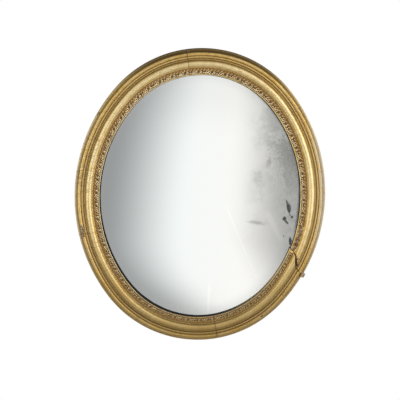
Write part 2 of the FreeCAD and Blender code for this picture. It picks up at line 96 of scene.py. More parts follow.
class MouldingSizes(PropertyGroup):
    """Section of the front moulding, from the outer edge to the sight edge"""
    back: length("Back", "Height of the moulding's back off the wall", 18)
    lip_height: length("Lip Height", "Height of the square outer lip", 3.2)
    lip_shelf: length("Lip Shelf", "Width of the shelf above the lip", 1.2)
    cove_width: length("Cove Width", "Width of the outer cove", 5.2)
    cove_height: length("Cove Height", "Height of the outer cove", 9.8)
    cove_hollow: length("Cove Hollow", "Depth of the cove's hollow", 1.5)
    roll_width: length("Roll Width", "Width of the small outer roll", 9.0)
    roll_rise: length("Roll Rise", "Rise of the small outer roll", 4.7)
    quirk_width: length("Quirk Width", "Width of the quirk inside the small roll", 1.6)
    fine_width: length("Fine Bead Width", "Width of the fine bead", 3.2)
    fine_rise: length("Fine Bead Rise", "Rise of the fine bead", 1.1)
    groove_slope: length("Groove Slope", "Run of the slope into the groove", 2.4)
    groove_depth: length("Groove Depth", "Depth of the groove below the quirk", 2.2)
    groove_width: length("Groove Width", "Width of the groove's floor", 3.3)
    torus_foot: length("Torus Foot", "Upright at the foot of the large torus", 2.5)
    torus_width: length("Torus Width", "Width of the large torus", 16.1)
    torus_climb: length("Torus Climb", "Climb from one foot of the torus to the other", 3.5)
    torus_rise: length("Torus Rise", "Rise of the large torus", 8.1)
    ledge_width: length("Ledge Width", "Width of the ledge inside the torus", 1.4)
    bed_step: length("Bed Step", "Step down to the ornament's bed", 1.5)
    bed_width: length("Bed Width", "Width of the ornament's bed", 14.2)
    bed_fall: length("Bed Fall", "Fall of the bed towards the sight edge", 5.0)
    fillet_height: length("Fillet Height", "Step up to the sight fillet", 1.2)
    fillet_width: length("Fillet Width", "Width of the sight fillet", 2.8)
    fillet_rise: length("Fillet Rise", "Crown of the sight fillet", 0.4)
    sight_drop: length("Sight Drop", "How far the sight edge lies below true", 2.0)
    sight_spread: length("Sight Spread", "How far the opening was cut outwards at the lower right", 3.6)
    softening: length("Softening", "Radius over which the ground softens an edge", 0.32)
    step: length("Step", "Length of one facet along the oval", 2.0)


class OrnamentSizes(PropertyGroup):
    """Moulded leaf ornament on the sloping bed"""
    margin: length("Margin", "Bare edge of the bed beside the ornament", 0.6)
    ground: length("Ground", "Thickness of the ornament's ground", 0.5)
    lap: length("Lap", "How far the ornament laps over the sight fillet", 1.0)
    scroll: length("Scroll", "Radius of the scroll's eye", 3.0)
    stem: length("Stem", "Radius of the scroll's stem", 0.95)
    lobe: length("Lobe", "Radius of a leaf lobe at its thick end", 1.15)
    pearl: length("Pearl", "Radius of the largest pearl", 2.0)
    grain: length("Grain", "Size of one facet of the relief", 0.42)
    seam: length("Seam", "Gap between two strips", 0.5)
    sound: IntProperty(name="Sound Motifs", description="Motifs on each sound strip", default=9)


class PlateSizes(PropertyGroup):
    """Mirror plate and its black binding"""
    inset: length("Inset", "Distance of the plate's edge from the outline", 46)
    back: length("Back", "Height of the plate's back off the wall", 13.6)
    silvering: length("Silvering", "Height at which the silvering is seen", 15.2)
    binding_front: length("Binding Front", "Height of the binding's front", 18)
    binding_show: length("Binding Show", "Width of binding in view at the sight edge", 2.6)
    binding_wander: length("Binding Wander", "How far the binding's torn edge wanders", 0.4)


class GildingColours(PropertyGroup):
    """Colours of the gilding, its clay and its dirt, and of the shade and highlights painted on it"""
    gold: colour("Gold", "Bright gold leaf", 0.82, 0.60, 0.24)
    # Pale gold, also the painted highlight on the torus
    pale_gold: colour("Pale Gold", "Gold leaf thinned over its ground", 0.86, 0.71, 0.41)
    deep_gold: colour("Deep Gold", "Gold leaf under old varnish", 0.62, 0.40, 0.10)
    # Toned gold, also painted shade in the grooves
    hollow_gold_and_shade: colour("Hollow Gold", "Toned gold in the grooves", 0.44, 0.27, 0.07)
    clay: colour("Clay", "Red clay under the leaf", 0.31, 0.11, 0.045)
    ochre: colour("Ochre", "Ochre wash on the outer side", 0.50, 0.34, 0.14)
    # Chalk ground, also painted light: pale on the right side, at the sides of the outer edge and on the
    # left of the sight fillet
    ground: colour("Ground", "Chalk ground laid bare", 0.72, 0.63, 0.48)
    # Dirt, also used as painted shade in the hollows, creases and seats
    dirt: colour("Dirt", "Old dirt in the hollows", 0.115, 0.055, 0.018)
    # Dark dust, also painted shade on faces that look up and on the top of the outer edge
    soot_and_shade: colour("Soot", "Soot and dust settled on faces that look up", 0.14, 0.09, 0.032)
    # Painted shade: browner, darker leaf towards the foot of the oval
    foot: colour("Foot", "Brown toning towards the foot of the oval", 0.26, 0.155, 0.045)
    # Red-brown toning, also painted shade on the ornament beside the torus
    red_brown_and_shade: colour("Red Brown", "Toned ornament beside the torus", 0.33, 0.145, 0.05)
    bare_wood: colour("Bare Wood", "Darkened pine laid bare", 0.26, 0.145, 0.058)
    # Painted highlight on the ornament's high places
    crest_highlight: colour("Crest Gold", "Leaf on the ornament's high places", 1.00, 0.83, 0.46)
    # Painted highlight on the pearls
    pearl_highlight: colour("Pearl Gold", "Burnished leaf on the pearls", 1.00, 0.91, 0.66)
    shadow: colour("Shadow", "Darkened inner wall of the sight edge", 0.012, 0.010, 0.009)


class SilveringColours(PropertyGroup):
    """Colours of the plate and its binding"""
    cool: colour("Cool Silvering", "Silvering at the left", 0.900, 0.945, 0.940)
    warm: colour("Warm Silvering", "Silvering at the right", 0.960, 0.955, 0.920)
    cloud: colour("Cloud", "Clouded silvering", 0.61, 0.61, 0.575)
    streak: colour("Streak", "Rubbed streaks", 1.0, 1.0, 0.97)
    haze: colour("Haze", "Haze round the edge", 0.78, 0.79, 0.77)
    foxing: colour("Foxing", "Stains where the silvering has gone", 0.030, 0.038, 0.036)
    paint: colour("Paint", "Paint on the plate's back", 0.075, 0.045, 0.035)
    # Near-black, as the binding stands for the shade at the sight edge
    paper: colour("Paper", "Black paper of the binding", 0.010, 0.010, 0.011)
    paper_dust: colour("Paper Dust", "Dust on the binding", 0.045, 0.040, 0.034)


class TimberColours(PropertyGroup):
    """Colours of the back"""
    pine: colour("Pine", "Aged pine", 0.36, 0.22, 0.105)
    pine_dark: colour("Dark Pine", "Late wood and stains in the pine", 0.16, 0.085, 0.035)
    dust: colour("Dust", "Grey dust on the back", 0.33, 0.30, 0.25)


class StudioSettings(PropertyGroup):
    """Camera and lights"""
    distance: length("Distance", "Camera's distance from the mirror", 8000)
    azimuth: turn("Azimuth", "Camera's turn about the upright", -2.2)
    elevation: turn("Elevation", "Camera's height angle", 9.5)
    roll: turn("Roll", "Camera's roll", 2.7)
    aim_right: length("Aim Right", "How far right of the oval's centre the camera aims", 0.5)
    aim_front: length("Aim Front", "How far in front of the wall the camera aims", 20)
    aim_drop: length("Aim Drop", "How far below the oval's centre the camera aims", 11.6)
    lens: FloatProperty(name="Lens", description="Focal length in millimetres", default=295.8)
    floor_drop: length("Floor Drop", "Depth of the floor below the mirror's centre", 1400)
    floor_radius: length("Floor Radius", "Radius of the round floor", 2000)


SETTINGS = {
    "mirror_oval": OvalSizes,
    "mirror_moulding": MouldingSizes,
    "mirror_ornament": OrnamentSizes,
    "mirror_plate": PlateSizes,
    "mirror_gilding": GildingColours,
    "mirror_silvering": SilveringColours,
    "mirror_timber": TimberColours,
    "mirror_studio": StudioSettings,
}


# The oval

class Oval:
    """The four-arc outline, its parallel lines, and runs and turns along them."""

    def __init__(self, sizes):
        self.blend = sizes.blend
        slope = math.tan(self.blend)
        self.side_centre = (sizes.height - sizes.width) / 2 / (1 + slope - 1 / math.cos(self.blend))
        self.side_radius = sizes.width / 2 + self.side_centre
        self.end_centre = self.side_centre * slope
        self.end_radius = sizes.height / 2 - self.end_centre

    def arcs(self):
        """Each arc over three laps: low turn, high turn, radius, centre x and z."""
        blend, half = self.blend, math.pi
        one_lap = [
            (-blend, blend, self.side_radius, -self.side_centre, 0),
            (blend, half - blend, self.end_radius, 0, self.end_centre),
            (half - blend, half + blend, self.side_radius, self.side_centre, 0),
            (half + blend, FULL_TURN - blend, self.end_radius, 0, -self.end_centre),
        ]
        return [(low + lap * FULL_TURN, high + lap * FULL_TURN, radius, x, z)
                for lap in (-1, 0, 1) for low, high, radius, x, z in one_lap]

    def spans(self, start, finish, least=1e-9):
        """The stretches between two turns that lie on one arc each."""
        return [(max(start, low), min(finish, high), radius, x, z)
                for low, high, radius, x, z in self.arcs()
                if max(start, low) < min(finish, high) - least]

    def table(self, inset):
        """Turns at the ends of the arcs, and the run to each along a parallel line."""
        arcs = self.arcs()
        turns = [arcs[0][0]] + [high for _, high, _, _, _ in arcs]
        runs = np.cumsum([0] + [(high - low) * (radius - inset)
                                for low, high, radius, _, _ in arcs])
        return np.array(turns), runs

    def run(self, turns, inset):
        """Run along the parallel line at an inset, from a fixed start to the turns."""
        ends, runs = self.table(inset)
        return np.interp(turns, ends, runs)

    def turn_at(self, run, inset):
        """The turns at which a run is reached."""
        ends, runs = self.table(inset)
        return np.interp(run, runs, ends)

    def places(self, turns, insets, heights):
        """Points on the oval as rows of x, y and z."""
        turns = np.asarray(turns, float)
        ends = np.array([low for low, _, _, _, _ in self.arcs()])
        which = np.clip(np.searchsorted(ends, turns, side="right") - 1, 0, len(ends) - 1)
        radius, x, z = (np.array(column)[which] for column in list(zip(*self.arcs()))[2:])
        reach = radius - np.asarray(insets)
        return np.stack([x + reach * np.cos(turns), -np.asarray(heights) * np.ones_like(turns),
                         z + reach * np.sin(turns)], axis=-1)

    def place(self, at, inset=0.0, height=0.0):
        """One point on the oval."""
        return Vector(self.places([at], inset, height)[0])

    def seen(self, points):
        """The turn and inset of each point, with turns from -pi to pi."""
        x, z = points[:, 0], points[:, 2]
        side = np.abs(z) * self.side_centre < self.end_centre * (np.abs(x) + self.side_centre)
        x_side = x + np.sign(x) * self.side_centre
        z_end = z - np.sign(z) * self.end_centre
        turns = np.where(side, np.arctan2(z, x_side), np.arctan2(z_end, x))
        reach = np.where(side, np.hypot(x_side, z), np.hypot(x, z_end))
        return turns, np.where(side, self.side_radius, self.end_radius) - reach


class OpenJoint:
    """The slanted joint that has opened, and the slip of the length below it."""

    searched = np.linspace(-math.radians(40), math.radians(5), 721)

    def __init__(self, oval, sizes, sight_inset):
        self.oval = oval
        outer = oval.place(sizes.open_joint_outer)
        inner = oval.place(sizes.open_joint_inner, sight_inset)
        along = (outer - inner).normalized()
        self.across = Vector((-along.z, 0, along.x))
        self.middle = (outer + inner) / 2
        self.gap = sizes.open_joint_gap
        self.pivot = oval.place(sizes.bottom_joint, sight_inset)
        self.angle = sizes.open_joint_slip / (self.middle - self.pivot).length

    def turns(self, insets, side):
        """The turn at which each parallel line meets the face on one side of the joint."""
        answer = []
        for inset in insets:
            points = self.oval.places(self.searched, inset, 0)
            ahead = ((points[:, 0] - self.middle.x) * self.across.x
                     + (points[:, 2] - self.middle.z) * self.across.z)
            answer.append(np.interp(side * self.gap / 2, ahead, self.searched))
        return np.array(answer)

    def slipped(self, points):
        """Points of the slipped length, moved from where it was made to where it lies."""
        turn_back = Matrix.Rotation(self.angle, 3, TO_FRONT)
        pivot = np.array(self.pivot)
        return (points - pivot) @ np.array(turn_back).T + pivot


# Mesh work

def points_of(piece):
    """A piece's vertices as rows of x, y and z."""
    flat = np.empty(len(piece.data.vertices) * 3)
    piece.data.vertices.foreach_get("co", flat)
    return flat.reshape(-1, 3)


def put_points(piece, points):
    """Move a piece's vertices to new places."""
    piece.data.vertices.foreach_set("co", np.ascontiguousarray(points).ravel())
    piece.data.update()


def put_values(piece, name, values):
    """Keep one number for each vertex under a name that the finish reads."""
    layer = piece.data.attributes.get(name) or piece.data.attributes.new(name, "FLOAT", "POINT")
    layer.data.foreach_set("value", np.asarray(values, dtype=np.float32))


def values_of(piece, name):
    """The numbers kept under a name."""
    values = np.empty(len(piece.data.vertices), dtype=np.float32)
    piece.data.attributes[name].data.foreach_get("value", values)
    return values.astype(float)


def pick(piece):
    """Make a piece the only one selected."""
    bpy.ops.object.select_all(action="DESELECT")
    piece.select_set(True)
    bpy.context.view_layer.objects.active = piece


def edit(piece, kind="VERT"):
    """Open a piece in edit mode with everything selected."""
    pick(piece)
    bpy.ops.object.mode_set(mode="EDIT")
    bpy.ops.mesh.select_mode(type=kind)
    bpy.ops.mesh.select_all(action="SELECT")


def close_edit():
    """Leave edit mode."""
    bpy.ops.object.mode_set(mode="OBJECT")


def new_piece(name, points, edges=(), faces=()):
    """A mesh object at the origin from points, edges and faces."""
    mesh = bpy.data.meshes.new(name)
    mesh.from_pydata([tuple(point) for point in points], list(edges), list(faces))
    piece = bpy.data.objects.new(name, mesh)
    bpy.context.collection.objects.link(piece)
    return piece


def closed_loop(count):
    """Edges that join a ring of points."""
    return [(index, (index + 1) % count) for index in range(count)]


def face_out(piece, merge=0.0):
    """Merge doubles and turn every face outwards."""
    edit(piece)
    if merge:
        bpy.ops.mesh.remove_doubles(threshold=merge)
        bpy.ops.mesh.select_all(action="SELECT")
    bpy.ops.mesh.normals_make_consistent(inside=False)
    close_edit()


def finish_piece(piece, material, nodes, angle=35):
    """Shade, colour and hand over a finished piece that stands for nodes of the frame."""
    pick(piece)
    bpy.ops.object.shade_smooth_by_angle(angle=math.radians(angle))
    piece.data.materials.clear()
    piece.data.materials.append(material)
    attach(piece, "mirror")
    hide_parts(*nodes)


def rough_field(points, scale, seed):
    """Smooth noise from -1 to 1 at each point, for a pattern of a given size."""
    shift = Vector([seed * step for step in NOISE_SHIFT])
    return np.array([noise.noise(Vector(point) / scale + shift) for point in points])


# Section of the moulding

def walk_of(m):
    """Steps across the moulding: run inwards, rise to the front, and swell."""
    height_at_sight = (m.lip_height + m.cove_height - m.groove_depth + m.torus_foot
                       + m.torus_climb - m.bed_step - m.bed_fall + m.fillet_height)
    return [
        (0, m.lip_height, 0),
        (m.lip_shelf, 0, 0),
        (m.cove_width, m.cove_height, -m.cove_hollow),
        (m.roll_width, 0, m.roll_rise),
        (m.quirk_width, 0, 0),
        (0, m.fine_rise, 0),
        (m.fine_width, 0, 0),
        (m.groove_slope, -m.fine_rise - m.groove_depth, 0),
        (m.groove_width, 0, 0),
        (0, m.torus_foot, 0),
        (m.torus_width, m.torus_climb, m.torus_rise),
        (m.ledge_width, 0, 0),
        (0, -m.bed_step, 0),
        (m.bed_width, -m.bed_fall, 0),
        (0, m.fillet_height, 0),
        (m.fillet_width, 0, m.fillet_rise),
        (0, -height_at_sight, 0),
    ]


def bowed(here, run, swell, spacing):
    """Points from here along a chord that bows by its swell."""
    here, run = np.array(here), np.array(run)
    chord = float(np.hypot(*run))
    along = run / chord
    outwards = np.array([-along[1], along[0]])
    if swell == 0:
        count = max(1, round(chord / spacing))
        return [here + run * (index + 1) / count for index in range(count)]
    radius = chord ** 2 / 8 / abs(swell) + abs(swell) / 2
    opening = 4 * math.atan(2 * abs(swell) / chord)
    count = max(2, round(radius * opening / spacing))
    points = []
    for index in range(count):
        angle = opening * ((index + 1) / count - 0.5)
        depth = radius * (math.cos(angle) - math.cos(opening / 2)) * math.copysign(1, swell)
        points.append(here + run / 2 + along * radius * math.sin(angle) + outwards * depth)
    return points


def blurred(line, width):
    """A line of points smoothed over a width, with its ends kept."""
    gaps = np.hypot(*np.diff(line, axis=0).T)
    places = np.concatenate([[0], np.cumsum(gaps)])
    result = line.copy()
    weight = np.concatenate([gaps[:1], (gaps[1:] + gaps[:-1]) / 2, gaps[-1:]])
    for index, place in enumerate(places):
        reach = min(1.0, place / width / 2, (places[-1] - place) / width / 2)
        if reach <= 0:
            continue
        share = np.exp(-((places - place) / (width * reach)) ** 2 / 2) * weight
        result[index] = (line * share[:, None]).sum(axis=0) / share.sum()
    return result


class Section:
    """Stations across the moulding, each with its place, its outward normal and its relief."""

    drawn_step = 0.15 * MM
    relief_width, relief_depth = 2.4 * MM, 0.8 * MM
    longest_step, shortest_step = 1.1 * MM, 0.22 * MM
    largest_bend = math.radians(13)

    def __init__(self, m):
        fine = [np.array([0.0, m.back])]
        for inwards, forwards, swell in walk_of(m):
            fine += bowed(fine[-1], (inwards, forwards), swell, self.drawn_step)
        line = blurred(np.array(fine), m.softening)
        tangent = np.gradient(line, axis=0)
        tangent /= np.hypot(*tangent.T)[:, None]
        normal = np.stack([-tangent[:, 1], tangent[:, 0]], axis=1)
        sunk = ((blurred(line, self.relief_width) - line) * normal).sum(axis=1) / self.relief_depth
        keep = [0]
        for index in range(1, len(line)):
            gone = np.hypot(*(line[index] - line[keep[-1]]))
            bent = tangent[index] @ tangent[keep[-1]] < math.cos(self.largest_bend)
            if gone > self.longest_step or (gone > self.shortest_step and bent):
                keep.append(index)
        keep[-1] = len(line) - 1
        self.line = line[keep]
        self.normal = normal[keep]
        self.hollow = np.clip(sunk[keep], 0, 1)
        self.crest = np.clip(-sunk[keep], 0, 1)
        self.walked = np.concatenate([[0], np.cumsum(np.hypot(*np.diff(self.line, axis=0).T))])

    def read(self, stations, column):
        """A value between stations."""
        return np.interp(stations, np.arange(len(self.line)), column)


class Damage:
    """One place where the surface is worn, chipped or dented."""

    ragged, frayed, soft_edge, farthest = 0.35, 0.18, 0.22, 1.6
    ragged_size, frayed_size = 0.35, 1.1 * MM

    def __init__(self, at, inset, run, width, depth, bare=1.0, seed=0):
        self.at, self.inset = math.radians(at), inset * MM
        self.run, self.width, self.depth = run * MM, width * MM, depth * MM
        self.bare, self.seed = bare, seed

    def mask(self, oval, section, turns, walked, points, slack=1.0):
        """How far each point is inside the damage, from 0 at its ragged edge to 1."""
        front = section.line[:, 1] > section.line[0, 1] + SNAP
        order = np.argsort(section.line[front][:, 0])
        here = np.interp(self.inset, section.line[front][order][:, 0],
                         section.walked[front][order])
        reach = np.hypot((turns - self.at) * (oval.end_radius - self.inset) / self.run * 2,
                         (walked - here) / self.width * 2)
        near = reach < self.farthest * slack
        inside = np.zeros(len(turns))
        if near.any():
            size = self.ragged_size * min(self.run, self.width)
            edge = (rough_field(points[near], size, self.seed) * self.ragged
                    + rough_field(points[near], self.frayed_size, self.seed + 3) * self.frayed)
            inside[near] = np.clip((slack - reach[near] + edge) / self.soft_edge, 0, 1)
        return inside


# Turn (degrees), inset, run, width and depth (millimetres), share laid bare, and seed
DAMAGES = [
    Damage(194.2, 9.0, 26, 13, 0.6, 0.9, seed=1),
    Damage(197.2, 4.5, 10, 7, 0.7, seed=2),
    Damage(308.3, 8.5, 9, 8, 1.5, seed=3),
    Damage(10.6, 7.0, 5, 5, 0.8, seed=4),
    Damage(4.7, 7.5, 4, 4, 0.7, seed=5),
    Damage(99.8, 3.5, 6, 6, 0.7, seed=6),
    Damage(283.5, 4.5, 8, 5, 0.8, seed=7),
    Damage(281.2, 30.0, 4, 5, 0.5, seed=8),
    Damage(253.0, 2.5, 7, 5, 0.8, seed=9),
    Damage(229.0, 3.0, 6, 6, 0.7, seed=10),
    Damage(152.0, 2.5, 8, 4, 0.6, seed=11),
    Damage(330.6, 8.0, 9, 8, 0.8, 0.4, seed=12),
    Damage(333.6, 9.5, 6, 7, 0.7, 0.4, seed=13),
    Damage(337.2, 31.0, 5, 7, 0.9, seed=14),
    Damage(345.0, 50.0, 64, 15, 0.6, 0.74, seed=15),
    Damage(342.0, 54.0, 8, 6, -2.6, 0.4, seed=41),
    Damage(342.6, 48.0, 6, 5, -2.0, 0.4, seed=42),
    Damage(344.6, 53.0, 5, 4, -2.0, 0.4, seed=46),
    Damage(346.2, 49.5, 5, 5, -1.8, 0.4, seed=43),
    Damage(348.0, 54.0, 6, 4, -2.0, 0.4, seed=44),
    Damage(349.2, 47.5, 4, 4, -1.6, 0.4, seed=47),
    Damage(299.0, 12.0, 5, 4, 0.6, seed=16),
    Damage(323.0, 12.5, 4, 4, 0.5, seed=17),
    Damage(62.0, 2.5, 7, 4, 0.5, seed=18),
    Damage(171.0, 13.0, 3.5, 3.5, 0.4, seed=19),
    Damage(218.0, 12.0, 4, 4, 0.45, seed=20),
]


# Front moulding

# Insets over which the drop of the sight edge grows, and the bearing (degrees) where it spreads
EASED_FROM, EASED_OVER = 42 * MM, 16 * MM
SPREAD_BEARING, SPREAD_HALF = -37, 42
SPREAD_RIGHT_SHARE, SPREAD_DOWN_SHARE = 0.87, 0.5


def dropped(points, insets, m):
    """Points inside the torus moved down, and out at the lower right, as the opening was cut."""
    share = np.clip((insets - EASED_FROM) / EASED_OVER, 0, 1)
    share = share * share * (3 - 2 * share)
    bearing = np.degrees(np.arctan2(points[:, 2], points[:, 0]))
    aside = np.clip((bearing - SPREAD_BEARING) / SPREAD_HALF, -1, 1)
    window = np.cos(aside * math.pi / 2) ** 2
    points[:, 0] += m.sight_spread * SPREAD_RIGHT_SHARE * window * share
    points[:, 2] -= (m.sight_drop + m.sight_spread * SPREAD_DOWN_SHARE * window) * share
    return points


def spun_length(name, oval, section, start, finish, step):
    """One length of the moulding: its section drawn at the start and spun round each arc."""
    count = len(section.line)
    ring = oval.places([start] * count, section.line[:, 0], section.line[:, 1])
    piece = new_piece(name, ring, closed_loop(count))
    put_values(piece, "station", range(count))
    edit(piece)
    for low, high, radius, x, z in oval.spans(start, finish):
        bpy.ops.mesh.spin(steps=max(2, round((high - low) * radius / step)), angle=low - high,
                          center=(x, 0, z), axis=TO_FRONT, use_auto_merge=False)
    bpy.ops.mesh.select_all(action="SELECT")
    bpy.ops.mesh.fill_holes(sides=0)
    close_edit()
    face_out(piece)
    return piece


def turns_of(piece, oval, start):
    """The turn of every vertex, counted on from the start of its length."""
    turns, _ = oval.seen(points_of(piece))
    margin = math.radians(2)
    return (turns - start + margin) % FULL_TURN + start - margin


def read_length(piece, oval, section, start):
    """The turn, station, inset, height and walk of every vertex of a spun length."""
    stations = values_of(piece, "station")
    return (turns_of(piece, oval, start), stations, section.read(stations, section.line[:, 0]),
            section.read(stations, section.line[:, 1]), section.read(stations, section.walked))


def refine(piece, chosen, cuts):
    """Divide the faces whose vertices are all chosen."""
    edit(piece)
    bpy.ops.mesh.select_all(action="DESELECT")
    close_edit()
    piece.data.vertices.foreach_set("select", chosen)
    bpy.ops.object.mode_set(mode="EDIT")
    bpy.ops.mesh.subdivide(number_cuts=cuts, smoothness=0)
    close_edit()


def slanted(turns, ends, limit, reach):
    """Turns eased so that a straight end comes to the slanted face of the open joint."""
    share = np.clip(1 - np.abs(turns - limit) / reach, 0, 1) ** 2
    return turns + (ends - limit) * share


# Across the open joint, in millimetres: the lens that gapes, the bow of its faces by inset, its fray
LENS_MIDDLE, LENS_HALF, LENS_WIDTH, LENS_FULLNESS = 31, 10, 6.0, 0.7
LENS_SHARES = {1: 0.65, -1: 0.35}
BOW_INSETS = (0, 10, 23, 39, 50, 60)
BOW = (-1, -6, -11, 6.5, 4, 0)
FRAY_SIZE, FRAY_DEPTH, FRAY_SEED = 2.2, 0.45, 9


def joint_ends(oval, joint, section, side):
    """The turn of the open joint's face at each station, ragged and opened by a lens."""
    insets = section.line[:, 0]
    gape = np.clip(1 - np.abs(insets - LENS_MIDDLE * MM) / (LENS_HALF * MM), 0, 1)
    lens = gape ** LENS_FULLNESS * LENS_WIDTH * MM
    bow = np.interp(insets / MM, BOW_INSETS, BOW) * MM
    fray = np.array([noise.noise(Vector((walked / (FRAY_SIZE * MM), side * FRAY_SEED, 0)))
                     for walked in section.walked]) * FRAY_DEPTH * MM
    on_front = np.where(section.line[:, 1] > section.line[0, 1] + MM, 1, 0)
    shift = side * (lens * LENS_SHARES[side] + fray * on_front) + bow
    return joint.turns(insets, side) + shift / (oval.side_radius - insets)


def damage_on(turns):
    """The damage within a length's turns, with its turn counted as the length's are."""
    centre, half = (turns.min() + turns.max()) / 2, (turns.max() - turns.min()) / 2
    margin = math.radians(4)
    nearby = [damage for damage in DAMAGES
              if math.cos(centre - damage.at) > math.cos(half + margin)]
    for damage in nearby:
        damage.at = (damage.at - centre + math.pi) % FULL_TURN + centre - math.pi
    return nearby


# Hand-made wander of the front as pattern size, height (millimetres) and seed, and the damage's grit
WANDER = ((45, 0.16, 21), (5, 0.05, 23))
GRIT_SIZE, GRIT_SHARE, GRIT_SEED = 1.3, 0.25, 31
# Reach of the slanted end, and widths over which the front, a seam and the inner wall begin
SLANT_REACH = math.radians(30)
FRONT_EASE, SEAM_WIDTH = 2 * MM, 2.6 * MM
WALL_WIDTH, WALL_DEPTH = 0.5 * MM, 9.6 * MM
RUN_INSET = 30 * MM


def shape_length(piece, oval, section, m, start, ends=None, limit=0.0):
    """Give a spun length its slanted end, its hand-made wander and its damage."""
    turns, _, _, _, walked = read_length(piece, oval, section, start)
    nearby = damage_on(turns)
    near = np.zeros(len(turns), bool)
    for damage in nearby:
        near |= damage.mask(oval, section, turns, walked, points_of(piece), slack=1.5) > 0
    refine(piece, near, 2)

    turns, stations, insets, heights, walked = read_length(piece, oval, section, start)
    to_end = np.minimum(turns - turns.min(), turns.max() - turns) * (oval.side_radius - insets)
    if ends is not None:
        turns = slanted(turns, section.read(stations, ends), limit, SLANT_REACH)
    points = oval.places(turns, insets, heights)
    bare = np.zeros(len(turns))
    depth = np.zeros(len(turns))
    for damage in nearby:
        mask = damage.mask(oval, section, turns, walked, points)
        bare = np.maximum(bare, mask * damage.bare)
        depth = depth + mask * damage.depth
    on_front = np.clip((heights - section.line[0, 1]) / FRONT_EASE, 0, 1)
    grit = rough_field(points, GRIT_SIZE * MM, GRIT_SEED)
    wander = sum(rough_field(points, size * MM, seed) * height * MM for size, height, seed in WANDER)
    lift = (wander - depth * (1 + GRIT_SHARE * grit * (depth > 0))) * on_front
    normal_in = section.read(stations, section.normal[:, 0])
    normal_up = section.read(stations, section.normal[:, 1])
    outwards = np.stack([np.cos(turns), np.zeros_like(turns), np.sin(turns)], axis=1)
    points = points - outwards * (normal_in * lift)[:, None]
    points[:, 1] -= normal_up * lift
    put_points(piece, dropped(points, insets, m))

    inner_wall = insets > section.line[:, 0].max() - WALL_WIDTH
    kept = {
        "hollow": section.read(stations, section.hollow),
        "crest": section.read(stations, section.crest),
        "bare": bare,
        "wall": inner_wall * np.clip((section.line[-1, 1] + WALL_DEPTH - heights) / MM, 0, 1),
        "seam": np.clip(1 - to_end / SEAM_WIDTH, 0, 1),
        "across": insets,
        "along": oval.run(turns, RUN_INSET),
    }
    for name, values in kept.items():
        put_values(piece, name, values)
    piece.data.attributes.remove(piece.data.attributes["station"])


# The torn splinter: turn and spin (degrees), inset, height and size (millimetres)
SPLINTER_TURN, SPLINTER_SPIN, SPLINTER_INSET, SPLINTER_HEIGHT = 332.6, 333, -2.0, 25
SPLINTER_SIZE = (9, 8, 14)
SPLINTER_VALUES = {"hollow": 0.4, "crest": 0.3, "bare": 0.62, "wall": 0, "seam": 0, "across": 0,
                   "along": 0}


def splinter(name, middle, size, spin, seed):
    """A torn splinter of wood: a small block, divided, thinned and roughened."""
    thinning, rough_size, rough_depth = 0.35, 1.6 * MM, 0.35 * MM
    bpy.ops.object.select_all(action="DESELECT")
    bpy.ops.mesh.primitive_cube_add(size=1)
    piece = bpy.context.active_object
    piece.name = name
    bpy.ops.object.mode_set(mode="EDIT")
    bpy.ops.mesh.subdivide(number_cuts=5)
    close_edit()
    points = points_of(piece)
    taper = 1 - thinning * (points[:, :1] + 0.5)
    points = points * np.array(size) * np.concatenate([np.ones_like(taper), taper, taper], axis=1)
    points += np.stack([rough_field(points, rough_size, seed + axis) for axis in range(3)],
                       axis=1) * rough_depth
    points = points @ np.array(Matrix.Rotation(spin, 3, TO_FRONT)).T + np.array(middle)
    put_points(piece, points)
    for value, amount in SPLINTER_VALUES.items():
        put_values(piece, value, np.full(len(points), amount))
    return piece


class MIRROR_OT_moulding(Operator):
    """Make the four gilded lengths of the front moulding"""
    bl_idname = "mirror.moulding"
    bl_label = "Gilded Moulding"

    def execute(self, context):
        sizes, m = context.scene.mirror_oval, context.scene.mirror_moulding
        oval, section = Oval(sizes), Section(m)
        joint = OpenJoint(oval, sizes, section.line[:, 0].max())
        gilding = gilded("gilding", context.scene.mirror_gilding)
        # End grain darkened (tone 3.0) also as painted shade inside the open joint
        end_grain_and_shade = timber("end_grain_and_shade", context.scene.mirror_timber, DEPTHWAYS, tone=3.0, dusty=0.0)
        above = joint_ends(oval, joint, section, 1)
        below = joint_ends(oval, joint, section, -1) + FULL_TURN
        places = {
            "upper_right": (sizes.open_joint_outer - FULL_TURN, sizes.top_joint, above),
            "upper_left": (sizes.top_joint, sizes.left_joint, None),
            "lower_left": (sizes.left_joint, sizes.bottom_joint, None),
            "lower_right": (sizes.bottom_joint, sizes.open_joint_inner, below),
        }
        hair = 0.12 * MM / oval.end_radius
        for name in LENGTHS:
            start, finish, ends = places[name]
            start, finish = start + hair, finish - hair
            piece = spun_length("gilt_" + name, oval, section, start, finish, m.step)
            limit = start if name == "upper_right" else finish
            shape_length(piece, oval, section, m, start, ends, limit)
            if name == "lower_right":
                tip = oval.place(math.radians(SPLINTER_TURN), SPLINTER_INSET * MM,
                                 SPLINTER_HEIGHT * MM)
                chip = splinter("torn_splinter", tip, [size * MM for size in SPLINTER_SIZE],
                                math.radians(SPLINTER_SPIN), seed=41)
                pick(chip)
                piece.select_set(True)
                context.view_layer.objects.active = piece
                bpy.ops.object.join()
                put_points(piece, joint.slipped(points_of(piece)))
            finish_piece(piece, gilding, ["moulding_" + name], angle=40)
            piece.data.materials.append(end_grain_and_shade)
            for face in piece.data.polygons:
                if len(face.vertices) > len(section.line) / 2:
                    face.material_index = 1
        return {"FINISHED"}


# Leaf ornament

